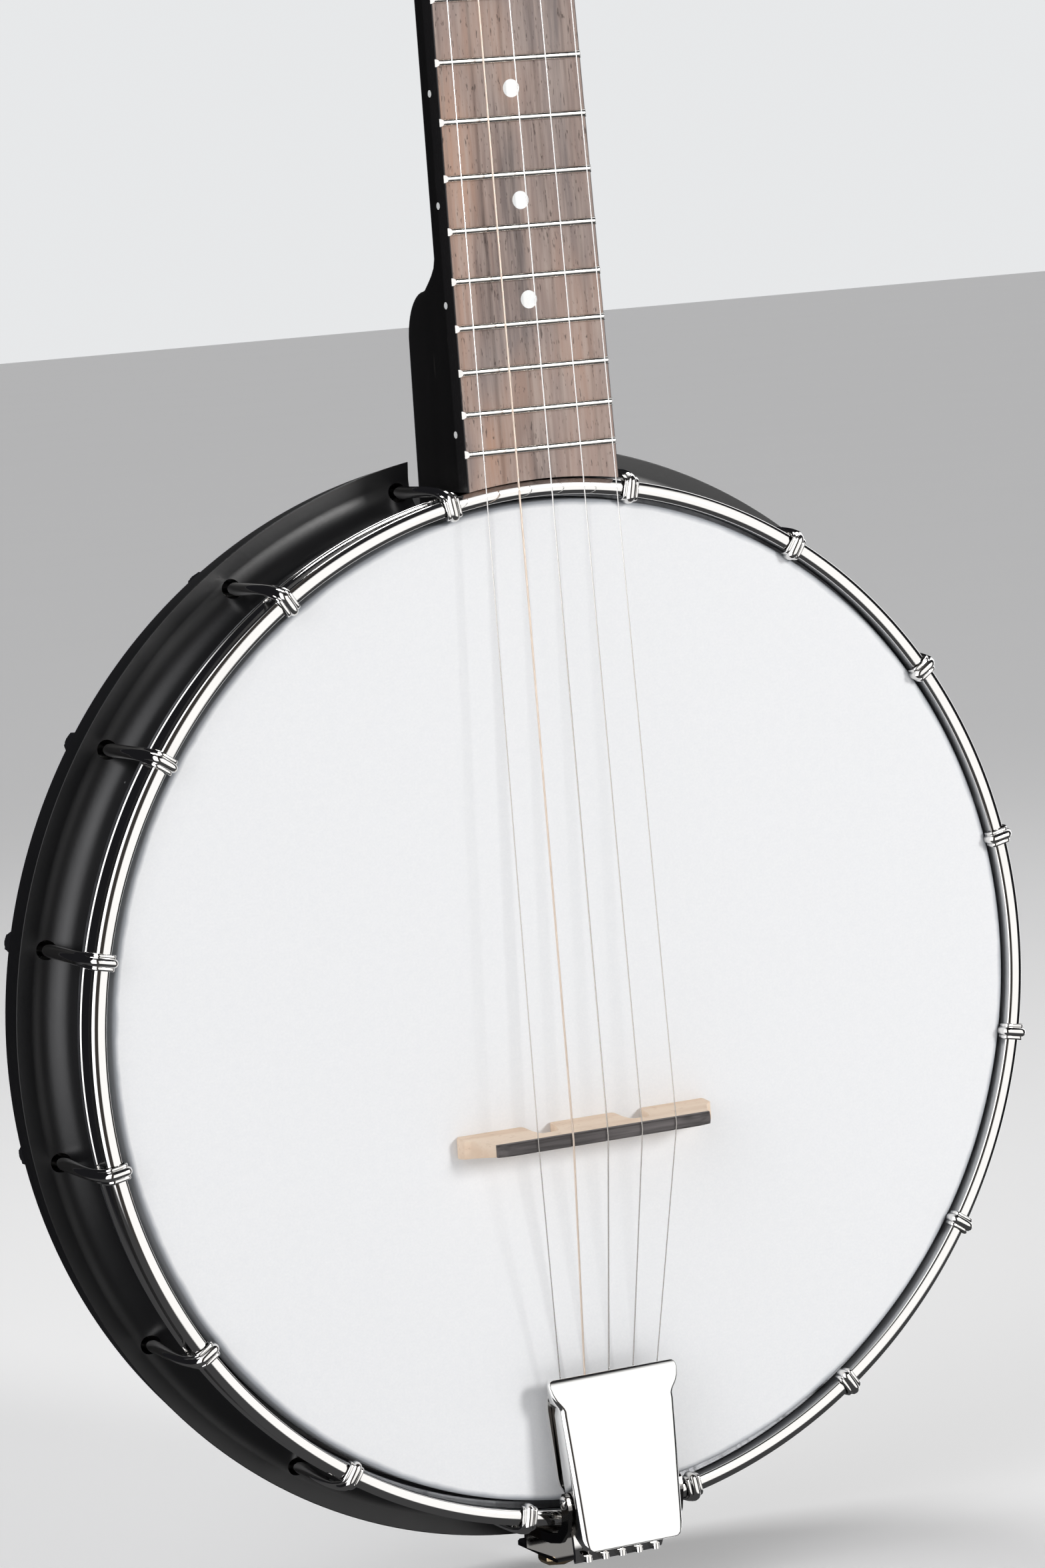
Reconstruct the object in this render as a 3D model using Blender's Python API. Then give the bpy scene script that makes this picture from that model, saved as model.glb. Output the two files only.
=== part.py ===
"""Five-string open-back banjo, held upright: +Z runs up the neck, the head faces -Y, +X is the treble side.

The origin is the centre of the head's playing surface. Depth behind that surface is +Y.
Every length is in metres.
"""

from math import asin, cos, pi, radians, sin, sqrt, tan

import bmesh
import bpy
from mathutils import Matrix, Vector

MM = 0.001
INCH = 0.0254

# Scale and strings
SCALE_LENGTH = 25.5 * INCH
FRETS = 22
BRIDGE_Z = -35.3 * MM
FRET_DATUM_Z = -25.8 * MM  # nut height less the scale length; the bridge stands a little behind it
NUT_Z = FRET_DATUM_Z + SCALE_LENGTH
STRING_GAP_BRIDGE = 10.9 * MM
STRING_GAP_NUT = 8.0 * MM
STRING_DIAMETERS = (0.30 * MM, 0.35 * MM, 0.42 * MM, 0.60 * MM, 0.30 * MM)
STRING_OUT_BRIDGE = 15.74 * MM  # in front of the head
STRING_OUT_NUT = -9.04 * MM

# Head and hoops: radius, then distance in front of the head's playing surface
HEAD_RADIUS = 5.5 * INCH
HOOP_INNER, HOOP_OUTER = 142.3 * MM, 147.0 * MM
HOOP_SKIRT = 146.2 * MM
HOOP_FRONT, HOOP_BACK = 2.3 * MM, -7.0 * MM
FLESH_INNER, FLESH_OUTER = 140.6 * MM, 144.8 * MM
FLESH_FRONT, FLESH_BACK = -7.3 * MM, -12.4 * MM

# Rim
RIM_INNER = 133.0 * MM
RIM_TOP = -0.9 * MM
RIM_SHELF_RADIUS, RIM_SHELF = 141.0 * MM, -12.9 * MM
COVE_RADIUS = 10.0 * MM
COVE_FLOOR = -30.0 * MM
LIP_RADIUS, LIP_FRONT = 155.5 * MM, -29.5 * MM
LIP_BACK_RADIUS, LIP_BACK = 153.3 * MM, -43.0 * MM
NUT_CHANNEL = -36.0 * MM
RIM_BACK = -64.0 * MM
HEEL_GAP_HALF = 24.6 * MM

# Brackets, as angles round the head from the neck's centre line
BRACKETS = 16
FIRST_BRACKET = 11.1
UPPER_PITCH = 22.25
LOWER_PITCH = 22.9
SHANK_RADIUS = 1.9 * MM
SHANK_CIRCLE = 147.8 * MM

# Neck
BOARD_HALF_HEEL = 23.6 * MM
BOARD_TREBLE_NUT = 18.7 * MM
BOARD_BASS_NUT = -11.3 * MM
BOARD_OUT_HEEL = 4.4 * MM
NECK_LEAN = 0.032  # how far the board drops behind the head for each metre up the neck
BOARD_THICK = 5.6 * MM
FRET_TALL, FRET_WIDE = 1.0 * MM, 2.4 * MM
NECK_DEEP = 15.5 * MM
HEEL_BACK = -41.4 * MM
HEEL_SHOULDER_Z = 186.0 * MM
HEEL_SHOULDER_TALL = 14.5 * MM

# Headstock, in its own plane: up from the nut, and out of its front face
HEADSTOCK_TILT = radians(15)
HEADSTOCK_FOOT = (627.9 * MM, -13.5 * MM)
HEADSTOCK_CENTRE = 3.7 * MM
HEADSTOCK_THICK = 14.0 * MM
POST_SPREAD = 20.0 * MM
POST_RADIUS = 3.0 * MM
TUNER_UPS = (40.0 * MM, 95.0 * MM)
WORM_BEHIND = -20.0 * MM

# Fifth tuner, on the bass side of the neck
FIFTH_Z, FIFTH_OUT = 482.0 * MM, -15.0 * MM
FIFTH_PIP_RISE = 2.8 * MM  # the peg that ends the fifth string, above its fret

# Bridge
BRIDGE_HALF = 39.4 * MM
BRIDGE_TOP_HALF = 33.6 * MM
BRIDGE_FOOT_THICK, BRIDGE_TOP_THICK = 6.2 * MM, 3.0 * MM
BRIDGE_WOOD_TOP, BRIDGE_CAP_TOP = 12.9 * MM, 15.2 * MM

# Tailpiece
TAIL_HINGE_Z, TAIL_HINGE_OUT = -138.0 * MM, 9.2 * MM
TAIL_SHEET = 1.0 * MM
TAIL_PLATE_FRONT, TAIL_PLATE_BACK = 5.6 * MM, 4.4 * MM
TAIL_STRAP_Z = -156.0 * MM
ROD_OUT = -34.0 * MM
ROD_RADIUS = 4.0 * MM

FIT = 0.3 * MM  # between a piece and the one cut to take it
GLUE = 0.1 * MM  # between flat faces glued together
RING_SIDES = 64
SHAFT_SIDES = 12


def place(x, z, out):
    """A point x across, z up the neck, and out in front of the head."""
    return Vector((x, -out, z))


def on_headstock(x, up, out):
    """A point on the headstock: x across, up from its foot, and out of its front face."""
    foot_z, foot_out = HEADSTOCK_FOOT
    tilt_sin, tilt_cos = sin(HEADSTOCK_TILT), cos(HEADSTOCK_TILT)
    return place(x, foot_z + up * tilt_cos + out * tilt_sin, foot_out - up * tilt_sin + out * tilt_cos)


def material(name, colour, metallic, roughness):
    made = bpy.data.materials.new(name)
    made.use_nodes = True
    shader = made.node_tree.nodes["Principled BSDF"]
    shader.inputs["Base Color"].default_value = (*colour, 1)
    shader.inputs["Metallic"].default_value = metallic
    shader.inputs["Roughness"].default_value = roughness
    made.diffuse_color = (*colour, 1)
    return made


def add_object(name, bm, slot, origin=None, sharp=35):
    """Puts the mesh in the scene as one object, with its origin at the given point."""
    bmesh.ops.remove_doubles(bm, verts=bm.verts, dist=1e-7)
    bmesh.ops.recalc_face_normals(bm, faces=bm.faces)
    if origin is not None:
        bmesh.ops.translate(bm, verts=bm.verts, vec=-origin)
    mesh = bpy.data.meshes.new(name)
    bm.to_mesh(mesh)
    bm.free()
    mesh.materials.append(MATERIALS[slot])
    mesh.shade_smooth()
    mesh.set_sharp_from_angle(angle=radians(sharp))
    obj = bpy.data.objects.new(name, mesh)
    if origin is not None:
        obj.location = origin
    bpy.context.scene.collection.objects.link(obj)
    return obj


def add_cutter(name, bm):
    cutter = add_object(name, bm, "bone")
    cutter.hide_render = True
    cutter.display_type = "WIRE"
    return cutter


def boolean(obj, other, operation="DIFFERENCE"):
    modifier = obj.modifiers.new(other.name, "BOOLEAN")
    modifier.operation = operation
    modifier.object = other
    modifier.solver = "EXACT"


def ring(profile, sides=RING_SIDES):
    """Turns a closed profile of (radius, out) points round the head's centre; a radius of 0 is on the axis."""
    bm = bmesh.new()
    turns = []
    for step in range(sides):
        angle = 2 * pi * (step + 0.5) / sides
        turns.append([bm.verts.new(place(r * sin(angle), r * cos(angle), out)) for r, out in profile])
    count = len(profile)
    for step in range(sides):
        here, after = turns[step], turns[(step + 1) % sides]
        for index in range(count):
            following = (index + 1) % count
            corners = [here[index], here[following], after[following], after[index]]
            if profile[index][0] == 0 and profile[following][0] == 0:
                continue
            if profile[index][0] == 0:
                corners = [here[index], here[following], after[following]]
            elif profile[following][0] == 0:
                corners = [here[index], here[following], after[index]]
            bm.faces.new(corners)
    bmesh.ops.remove_doubles(bm, verts=bm.verts, dist=1e-7)
    return bm


def loft(loops, bm=None):
    """Joins closed loops of equally many points, one after another, and closes both ends."""
    bm = bm or bmesh.new()
    rows = [[bm.verts.new(point) for point in loop] for loop in loops]
    count = len(rows[0])
    for here, after in zip(rows, rows[1:]):
        for index in range(count):
            following = (index + 1) % count
            bm.faces.new((here[index], here[following], after[following], after[index]))
    bm.faces.new(rows[0][::-1])
    bm.faces.new(rows[-1])
    return bm


def circle(centre, along, radius, sides=SHAFT_SIDES):
    """Points round a centre, in the plane across the given direction."""
    along = along.normalized()
    side = along.orthogonal().normalized()
    if abs(along.x) < 0.9:
        side = (Vector((1, 0, 0)) - along * along.x).normalized()
    up = along.cross(side)
    turns = [2 * pi * (step + 0.5) / sides for step in range(sides)]
    return [centre + (side * cos(turn) + up * sin(turn)) * radius for turn in turns]


def turned(stations, sides=SHAFT_SIDES, bm=None):
    """A turned solid through (centre, radius) stations on one straight axis."""
    along = stations[-1][0] - stations[0][0]
    return loft([circle(centre, along, radius, sides) for centre, radius in stations], bm)


def prism(outline, front, back):
    """Extrudes an outline of (x, z) points between two distances out from the head."""
    return loft([[place(x, z, out) for x, z in outline] for out in (front, back)])


def block(corner_a, corner_b, spot=place, bm=None):
    """A box between two corners, each (x, z, out), placed by the given function."""
    (x0, z0, out0), (x1, z1, out1) = corner_a, corner_b
    loops = [[spot(x, z, out) for x, z in ((x0, z0), (x1, z0), (x1, z1), (x0, z1))] for out in (out0, out1)]
    return loft(loops, bm)


def fret_z(number):
    return NUT_Z - SCALE_LENGTH * (1 - 2 ** (-number / 12))


def board_out(z):
    """How far the fretboard's face is in front of the head."""
    return BOARD_OUT_HEEL - NECK_LEAN * (z - fret_z(FRETS))


def treble_edge(z):
    return BOARD_HALF_HEEL + (BOARD_TREBLE_NUT - BOARD_HALF_HEEL) * (z - HEAD_RADIUS) / (NUT_Z - HEAD_RADIUS)


def bass_edge(z):
    """The bass edge steps in above the fifth fret, where the fifth string ends."""
    full = -treble_edge(z)
    narrow = BOARD_BASS_NUT + (full + treble_edge(NUT_Z)) * 0.3
    step_foot, step_tall = fret_z(5) + 3 * MM, 12 * MM
    share = min(max((z - step_foot) / step_tall, 0), 1)
    return full + (narrow - full) * share * share * (3 - 2 * share)


def string_gap(z):
    return STRING_GAP_BRIDGE + (STRING_GAP_NUT - STRING_GAP_BRIDGE) * (z - BRIDGE_Z) / (NUT_Z - BRIDGE_Z)


def string_point(number, z):
    """A point on a string between the bridge and the nut; string 1 is on the treble side."""
    share = (z - BRIDGE_Z) / (NUT_Z - BRIDGE_Z)
    out = STRING_OUT_BRIDGE + (STRING_OUT_NUT - STRING_OUT_BRIDGE) * share
    return place((3 - number) * string_gap(z), z, out)


def bracket_angles():
    """Angles of all brackets, from the neck round by the bass side and by the treble side."""
    upper = [FIRST_BRACKET + UPPER_PITCH * step for step in range(4)]
    half = upper + [upper[-1] + LOWER_PITCH * step for step in range(1, 5)]
    return [-angle for angle in half] + half[::-1]


def build_rim():
    cove_steps = 6
    cove = []
    for step in range(cove_steps + 1):
        turn = pi / 2 * step / cove_steps
        across = RIM_SHELF_RADIUS + COVE_RADIUS * (1 - cos(turn))
        cove.append((across, COVE_FLOOR + COVE_RADIUS * (1 - sin(turn))))
    profile = [
        (RIM_INNER, RIM_TOP - 2.3 * MM),
        (RIM_INNER + 2.6 * MM, RIM_TOP),
        (HEAD_RADIUS - 1.3 * MM, RIM_TOP),
        (HEAD_RADIUS - 0.45 * MM, RIM_TOP - 1.0 * MM),
        (HEAD_RADIUS - 0.45 * MM, RIM_SHELF),
        (RIM_SHELF_RADIUS, RIM_SHELF),
        *cove,
        (LIP_RADIUS, LIP_FRONT),
        (LIP_BACK_RADIUS, LIP_BACK),
        (LIP_BACK_RADIUS - 1.4 * MM, LIP_BACK),
        (LIP_BACK_RADIUS - 1.4 * MM, NUT_CHANNEL),
        (143.6 * MM, NUT_CHANNEL),
        (141.5 * MM, NUT_CHANNEL - 4 * MM),
        (141.5 * MM, RIM_BACK),
        (RIM_INNER, RIM_BACK),
    ]
    rim = add_object("pot_rim", ring(profile), "composite")
    holes = bmesh.new()
    for angle in bracket_angles():
        across, up = sin(radians(angle)), cos(radians(angle))
        ends = [place(across * SHANK_CIRCLE, up * SHANK_CIRCLE, out) for out in (-19 * MM, NUT_CHANNEL - 1 * MM)]
        turned([(ends[0], 2.7 * MM), (ends[1], 2.7 * MM)], 8, holes)
    for z_near, z_far, radius in ((125 * MM, 150 * MM, 3.4 * MM), (-125 * MM, -160 * MM, 3.4 * MM)):
        turned([(place(0, z, ROD_OUT), radius) for z in (z_near, z_far)], SHAFT_SIDES, holes)
    boolean(rim, add_cutter("rim_holes", holes))
    gap_radius = RIM_SHELF_RADIUS + 0.7 * MM
    gap_turn = asin(HEEL_GAP_HALF / gap_radius)
    arc = [gap_turn * (1 - step / 4) for step in range(9)]
    outline = [(gap_radius * sin(turn), gap_radius * cos(turn)) for turn in arc]
    outline += [(-HEEL_GAP_HALF, 170 * MM), (HEEL_GAP_HALF, 170 * MM)]
    boolean(rim, add_cutter("heel_gap", prism(outline, RIM_SHELF + 0.5 * MM, LIP_BACK - 1 * MM)))


def build_head():
    skin = 0.5 * MM
    profile = [
        (0, 0),
        (HEAD_RADIUS - 1.9 * MM, 0),
        (HEAD_RADIUS - 0.6 * MM, -0.4 * MM),
        (HEAD_RADIUS + 0.3 * MM, -1.4 * MM),
        (HEAD_RADIUS + 0.4 * MM, -2.4 * MM),
        (HEAD_RADIUS - 0.1 * MM, -2.4 * MM),
        (HEAD_RADIUS - 0.2 * MM, -1.6 * MM),
        (HEAD_RADIUS - 1.0 * MM, -skin - 0.15 * MM),
        (HEAD_RADIUS - 2.0 * MM, -skin),
        (0, -skin),
    ]
    add_object("head", ring(profile), "head_film")


def build_hoops():
    # skirt with a flared lower edge, round outer bead, groove, and a lower ledge inside
    hoop = [
        (HOOP_INNER, HOOP_BACK),
        (HOOP_SKIRT + 0.2 * MM, HOOP_BACK),
        (HOOP_SKIRT + 0.6 * MM, HOOP_BACK + 0.6 * MM),
        (HOOP_SKIRT, HOOP_BACK + 1.6 * MM),
        (HOOP_SKIRT, HOOP_FRONT - 2.4 * MM),
        (HOOP_OUTER, HOOP_FRONT - 1.4 * MM),
        (HOOP_OUTER - 0.3 * MM, HOOP_FRONT - 0.4 * MM),
        (HOOP_OUTER - 1.0 * MM, HOOP_FRONT),
        (HOOP_OUTER - 1.9 * MM, HOOP_FRONT - 0.4 * MM),
        (HOOP_OUTER - 2.4 * MM, HOOP_FRONT - 1.2 * MM),
        (HOOP_INNER + 0.4 * MM, HOOP_FRONT - 0.9 * MM),
        (HOOP_INNER, HOOP_FRONT - 1.4 * MM),
    ]
    add_object("tension_hoop", ring(hoop), "chrome")
    flesh = [(FLESH_INNER, FLESH_FRONT), (FLESH_OUTER, FLESH_FRONT), (FLESH_OUTER, FLESH_BACK), (FLESH_INNER, FLESH_BACK)]
    add_object("flesh_hoop", ring(flesh), "flesh_metal")


def build_bracket(name, angle):
    """One hook over the hoop, with its shank through the flange and its nut in the channel behind."""
    outward = Vector((sin(radians(angle)), 0, cos(radians(angle))))
    sideways = Vector((cos(radians(angle)), 0, -sin(radians(angle))))
    forward = Vector((0, -1, 0))
    # radius, out, half width across, half thickness
    path = [
        (141.1, 1.3, 1.7, 0.6),
        (141.5, 3.0, 2.6, 0.8),
        (143.2, 4.0, 2.75, 0.9),
        (146.4, 3.9, 2.75, 0.9),
        (148.6, 2.0, 2.6, 1.0),
        (149.1, -2.0, 2.4, 1.1),
        (148.9, -14.0, 2.1, 1.5),
        (147.9, -26.0, 1.9, 1.9),
        (147.8, -36.4, 1.9, 1.9),
        (147.8, -36.5, 3.4, 3.4),
        (147.8, -50.7, 3.4, 3.4),
        (147.8, -51.5, 2.5, 2.5),
    ]
    loops = []
    for index, (radius, out, half_wide, half_thick) in enumerate(path):
        before, after = path[max(index - 1, 0)], path[min(index + 1, len(path) - 1)]
        if half_thick >= SHANK_RADIUS / MM:
            along = -forward  # the round shank and its nut stand square to the flange
        else:
            along = (outward * (after[0] - before[0]) + forward * (after[1] - before[1])).normalized()
        normal = sideways.cross(along)
        centre = outward * radius * MM + forward * out * MM
        loop = []
        for step in range(8):
            turn = pi / 4 * (step + 0.5)
            offset = sideways * cos(turn) * half_wide + normal * sin(turn) * half_thick
            loop.append(centre + offset * (1.08 * MM))
        loops.append(loop)
    add_object(name, loft(loops), "chrome", origin=outward * 149.0 * MM)


def neck_section(z, across_points=13):
    """The neck below the fretboard at one height: a D shape, which deepens to a tapered box at the heel."""
    front = board_out(z) - BOARD_THICK - GLUE
    left, right = bass_edge(z) + 0.05 * MM, treble_edge(z) - 0.05 * MM
    centre, half = (left + right) / 2, (right - left) / 2
    shoulder = HEEL_SHOULDER_Z + HEEL_SHOULDER_TALL
    back = front - NECK_DEEP - 1.5 * MM * (NUT_Z - z) / NUT_Z
    box = 0.0
    if z <= HEEL_SHOULDER_Z:
        back, box = HEEL_BACK, 1.0
    elif z <= shoulder:
        share = (z - HEEL_SHOULDER_Z) / HEEL_SHOULDER_TALL
        back = HEEL_BACK + HEEL_SHOULDER_TALL * (1 - sqrt(max(1 - share * share, 0)))
        box = 1.0 - 0.25 * share
    elif z <= shoulder + 9 * MM:
        share = (z - shoulder) / (9 * MM)
        start = HEEL_BACK + HEEL_SHOULDER_TALL
        back = start + (back - start) * (1 - (1 - share) ** 2)
        box = 0.75 * (1 - share) ** 2
    exponent = 2.2 + 3.8 * box
    taper = 0.16 * box
    side = 1.5 * MM
    loop = [place(left, z, front), place(right, z, front)]
    for step in range(across_points):
        turn = pi * step / (across_points - 1)
        x = abs(cos(turn)) ** (2 / exponent) * (1 if cos(turn) >= 0 else -1)
        down = abs(sin(turn)) ** (2 / exponent)
        narrowed = 1 - taper * down
        loop.append(place(centre + half * x * narrowed, z, front - side + (back - front + side) * down))
    return loop


def build_neck():
    heights = [138, 150, 162, 174, 182, 186, 190, 193.5, 196.5, 198.8, 200.4, 202.5, 205.5, 209.5, 225, 262]
    heights += [330, 400, 455, 461.5, 464, 467, 470, 473, 476, 520, 575, 612, 628, 636]
    loops = []
    for height in heights:
        loop = neck_section(height * MM)
        if height > 628:
            # the last section leans back into the headstock
            sink = (height - 628) * 0.5 * MM
            loop = [point + Vector((0, sink, 0)) for point in loop]
        loops.append(loop)
    neck = add_object("neck", loft(loops), "neck_wood")

    half_outline = [(14.9, 0), (15.2, 7), (19.5, 15), (26.5, 25), (30, 36), (31, 60), (31.5, 108), (30, 130)]
    half_outline += [(25, 144), (14, 151)]
    right = [(HEADSTOCK_CENTRE + x * MM, up * MM) for x, up in half_outline]
    left = [(HEADSTOCK_CENTRE - x * MM, up * MM) for x, up in half_outline[::-1]]
    outline = right + [(HEADSTOCK_CENTRE, 153.5 * MM)] + left
    loops = [[on_headstock(x, up, out) for x, up in outline] for out in (0, -HEADSTOCK_THICK)]
    headstock = add_cutter("headstock_blank", loft(loops))
    boolean(neck, headstock, "UNION")

    cuts = bmesh.new()
    for side in (-1, 1):
        for up in TUNER_UPS:
            x = HEADSTOCK_CENTRE + side * POST_SPREAD
            turned([(on_headstock(x, up, out), 4.4 * MM) for out in (3 * MM, -HEADSTOCK_THICK - 3 * MM)], bm=cuts)
    turned([(place(x, FIFTH_Z, FIFTH_OUT), 2.8 * MM) for x in (-30 * MM, -4 * MM)], bm=cuts)
    turned([(place(0, z, ROD_OUT), 3.4 * MM) for z in (130 * MM, 172 * MM)], bm=cuts)
    boolean(neck, add_cutter("neck_holes", cuts))

    seat_front = prism(pot_outline(HOOP_OUTER + 0.4 * MM), 10 * MM, RIM_SHELF - 0.3 * MM)
    boolean(neck, add_cutter("hoop_seat", seat_front))
    seat_back = prism(pot_outline(RIM_SHELF_RADIUS + 1.0 * MM), RIM_SHELF + 2 * MM, -70 * MM)
    boolean(neck, add_cutter("rim_seat", seat_back))


def pot_outline(radius):
    """A full circle round the head's centre, with its corners in line with the rings' corners."""
    turns = [2 * pi * (step + 0.5) / RING_SIDES for step in range(RING_SIDES)]
    return [(radius * sin(turn), radius * cos(turn)) for turn in turns]


def build_fretboard():
    """The board with its frets standing on it, ended in an arc round the hoop."""
    stations = [(138 * MM, 0)]
    for number in range(FRETS, 0, -1):
        z = fret_z(number)
        half = FRET_WIDE / 2
        stations += [(z - half, 0), (z - half * 0.4, FRET_TALL), (z + half * 0.4, FRET_TALL), (z + half, 0)]
        if number == 5:
            stations += [(z + rise * MM, 0) for rise in (3.5, 6, 9, 12, 15)]
    stations.append((NUT_Z - GLUE, 0))
    loops = []
    for z, tall in stations:
        left, right, out = bass_edge(z), treble_edge(z), board_out(z)
        back = out - BOARD_THICK
        loops.append([place(left, z, back), place(right, z, back), place(right, z, out + tall), place(left, z, out + tall)])
    board = add_object("fretboard", loft(loops), "rosewood", sharp=20)
    seat = prism(pot_outline(HOOP_OUTER + 0.45 * MM), 12 * MM, -8 * MM)
    boolean(board, add_cutter("board_seat", seat))


def build_nuts():
    width = 5 * MM
    out = board_out(NUT_Z)
    left, right = bass_edge(NUT_Z) + 0.1 * MM, treble_edge(NUT_Z) - 0.1 * MM
    back = out - BOARD_THICK
    front = STRING_OUT_NUT - 0.6 * MM
    loops = []
    for x in (left, right):
        corners = ((NUT_Z, back), (NUT_Z, front), (NUT_Z + width, front - 1.2 * MM), (NUT_Z + width, back))
        loops.append([place(x, z, edge) for z, edge in corners])
    add_object("string_nut", loft(loops), "bone")
    z = fret_z(5) + FIFTH_PIP_RISE
    x = string_point(5, z).x
    base = board_out(z) + GLUE
    top = -string_point(5, z).y - 0.6 * MM
    add_object("fifth_string_nut", turned([(place(x, z, base), 1.3 * MM), (place(x, z, top), 1.1 * MM)]), "bone")


def build_truss_rod_cover():
    outline = [(-6, 7), (6, 7), (7.5, 12), (5.5, 24), (0, 31), (-5.5, 24), (-7.5, 12)]
    loops = []
    for out in (GLUE, GLUE + 1.6 * MM):
        loops.append([on_headstock(HEADSTOCK_CENTRE + x * MM, up * MM, out) for x, up in outline])
    add_object("truss_rod_cover", loft(loops), "black_plastic")


def build_button(name, start, across, origin):
    """A tuner's shaft and its oval button, along X from start, on the side given by the sign of across."""
    # distance along, half height, half thickness
    stations = [(0, 2.0, 2.0), (5, 2.0, 2.0), (5.4, 3.0, 2.6), (8, 5.6, 3.0), (12, 8.0, 3.3), (16, 8.0, 3.3)]
    stations += [(19, 6.4, 2.9), (20.5, 3.6, 2.0)]
    loops = []
    for along, half_tall, half_thick in stations:
        loop = []
        for step in range(SHAFT_SIDES):
            turn = 2 * pi * (step + 0.5) / SHAFT_SIDES
            offset = Vector((across * along * MM, cos(turn) * half_thick * MM, sin(turn) * half_tall * MM))
            loop.append(start + offset)
        loops.append(loop)
    add_object(name, loft(loops), "chrome", origin=origin)


def build_tuner(number, side, up):
    """A sealed geared tuner: its housing and sleeve, the post the string winds on, and its button."""
    x = HEADSTOCK_CENTRE + side * POST_SPREAD
    behind = -HEADSTOCK_THICK - FIT
    sleeve = [(6.4, 0.3), (6.4, 2.0), (3.4, 2.0), (3.4, behind / MM), (4.1, behind / MM - 0.6), (4.1, 0.3)]
    bm = bmesh.new()
    rows = []
    for step in range(SHAFT_SIDES):
        turn = 2 * pi * (step + 0.5) / SHAFT_SIDES
        rows.append([on_headstock(x + r * MM * cos(turn), up + r * MM * sin(turn), out * MM) for r, out in sleeve])
    count = len(sleeve)
    verts = [[bm.verts.new(point) for point in row] for row in rows]
    for step in range(SHAFT_SIDES):
        here, after = verts[step], verts[(step + 1) % SHAFT_SIDES]
        for index in range(count):
            following = (index + 1) % count
            bm.faces.new((here[index], here[following], after[following], after[index]))
    sleeve_cutter = add_cutter(f"tuner_{number}_sleeve", bm)
    box = block(
        (x - side * 7 * MM, up - 8.5 * MM, behind),
        (x + side * 9 * MM, up + 8.5 * MM, behind - 11 * MM),
        on_headstock,
    )
    housing = add_object(f"tuner_{number}_housing", box, "chrome")
    boolean(housing, sleeve_cutter, "UNION")
    foot, tip = on_headstock(x, up, behind + FIT), on_headstock(x, up, 12.5 * MM)
    post = [(foot, POST_RADIUS), (on_headstock(x, up, 4 * MM), POST_RADIUS)]
    post += [(on_headstock(x, up, 6.5 * MM), 2.5 * MM), (on_headstock(x, up, 9 * MM), POST_RADIUS), (tip, POST_RADIUS)]
    add_object(f"tuner_{number}_post", turned(post), "chrome", origin=foot)
    shaft = on_headstock(x + side * (9 * MM + FIT), up, WORM_BEHIND)
    build_button(f"tuner_{number}_button", shaft, side, shaft)


def build_fifth_tuner():
    """An in-line geared peg in the neck's side: body and axle, the drum the string winds on, and the button."""

    def at(x):
        return place(x * MM, FIFTH_Z, FIFTH_OUT)

    body = [(-5, 2.4), (-14.6, 2.4), (-14.7, 3.4), (-15.6, 3.4), (-15.7, 1.6), (-22.9, 1.6), (-23, 5.4)]
    body += [(-26, 6.2), (-33, 5.2), (-34.5, 3.6)]
    add_object("fifth_tuner_body", turned([(at(x), r * MM) for x, r in body]), "chrome")
    drum = [(3.6, -16.0), (3.6, -17.0), (2.9, -17.8), (2.9, -21.2), (3.6, -22.0), (3.6, -22.6), (2.0, -22.6), (2.0, -16.0)]
    bm = bmesh.new()
    rows = []
    for step in range(SHAFT_SIDES):
        turn = 2 * pi * (step + 0.5) / SHAFT_SIDES
        rows.append([bm.verts.new(at(x) + Vector((0, sin(turn), cos(turn))) * r * MM) for r, x in drum])
    for step in range(SHAFT_SIDES):
        here, after = rows[step], rows[(step + 1) % SHAFT_SIDES]
        for index in range(len(drum)):
            following = (index + 1) % len(drum)
            bm.faces.new((here[index], here[following], after[following], after[index]))
    add_object("fifth_tuner_post", bm, "chrome", origin=at(-19.3))
    build_button("fifth_tuner_button", at(-34.8), -1, at(-34.8))


def build_bridge():
    """Three feet and two arches under a narrow top, thick at the feet and thin under the strings."""
    half_feet = [(39.4, 0.1), (18.6, 0.1), (17.6, 4.5), (14.4, 7.0), (11.2, 4.5), (10.2, 0.1)]
    outline = [(-x, out) for x, out in half_feet] + half_feet[::-1]
    outline += [(39.4, 4.0), (37.2, 6.0), (35.4, 9.0), (BRIDGE_TOP_HALF / MM, BRIDGE_WOOD_TOP / MM)]
    outline += [(-BRIDGE_TOP_HALF / MM, BRIDGE_WOOD_TOP / MM), (-35.4, 9.0), (-37.2, 6.0), (-39.4, 4.0)]

    def half_thick(out):
        return (BRIDGE_FOOT_THICK + (BRIDGE_TOP_THICK - BRIDGE_FOOT_THICK) * out / BRIDGE_CAP_TOP) / 2

    loops = []
    for side in (-1, 1):
        loops.append([place(x * MM, BRIDGE_Z + side * half_thick(out * MM), out * MM) for x, out in outline])
    add_object("bridge", loft(loops), "maple")
    low, high = BRIDGE_WOOD_TOP + GLUE, BRIDGE_CAP_TOP
    loops = []
    for side in (-1, 1):
        corners = ((-33.6, low), (33.6, low), (31.4, high), (-31.4, high))
        loops.append([place(x * MM, BRIDGE_Z + side * half_thick(out), out) for x, out in corners])
    add_object("bridge_cap", loft(loops), "ebony")


def cover_front(z):
    """The cover's outer face: it rises from the lip to the tail."""
    lip_z, crease_z, tail_z = -103.1 * MM, -109.5 * MM, -151.8 * MM
    if z > crease_z:
        return 11.0 * MM + (8.3 - 11.0) * MM * (z - crease_z) / (lip_z - crease_z)
    return 11.0 * MM + 4.5 * MM * (z - crease_z) / (tail_z - crease_z)


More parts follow.
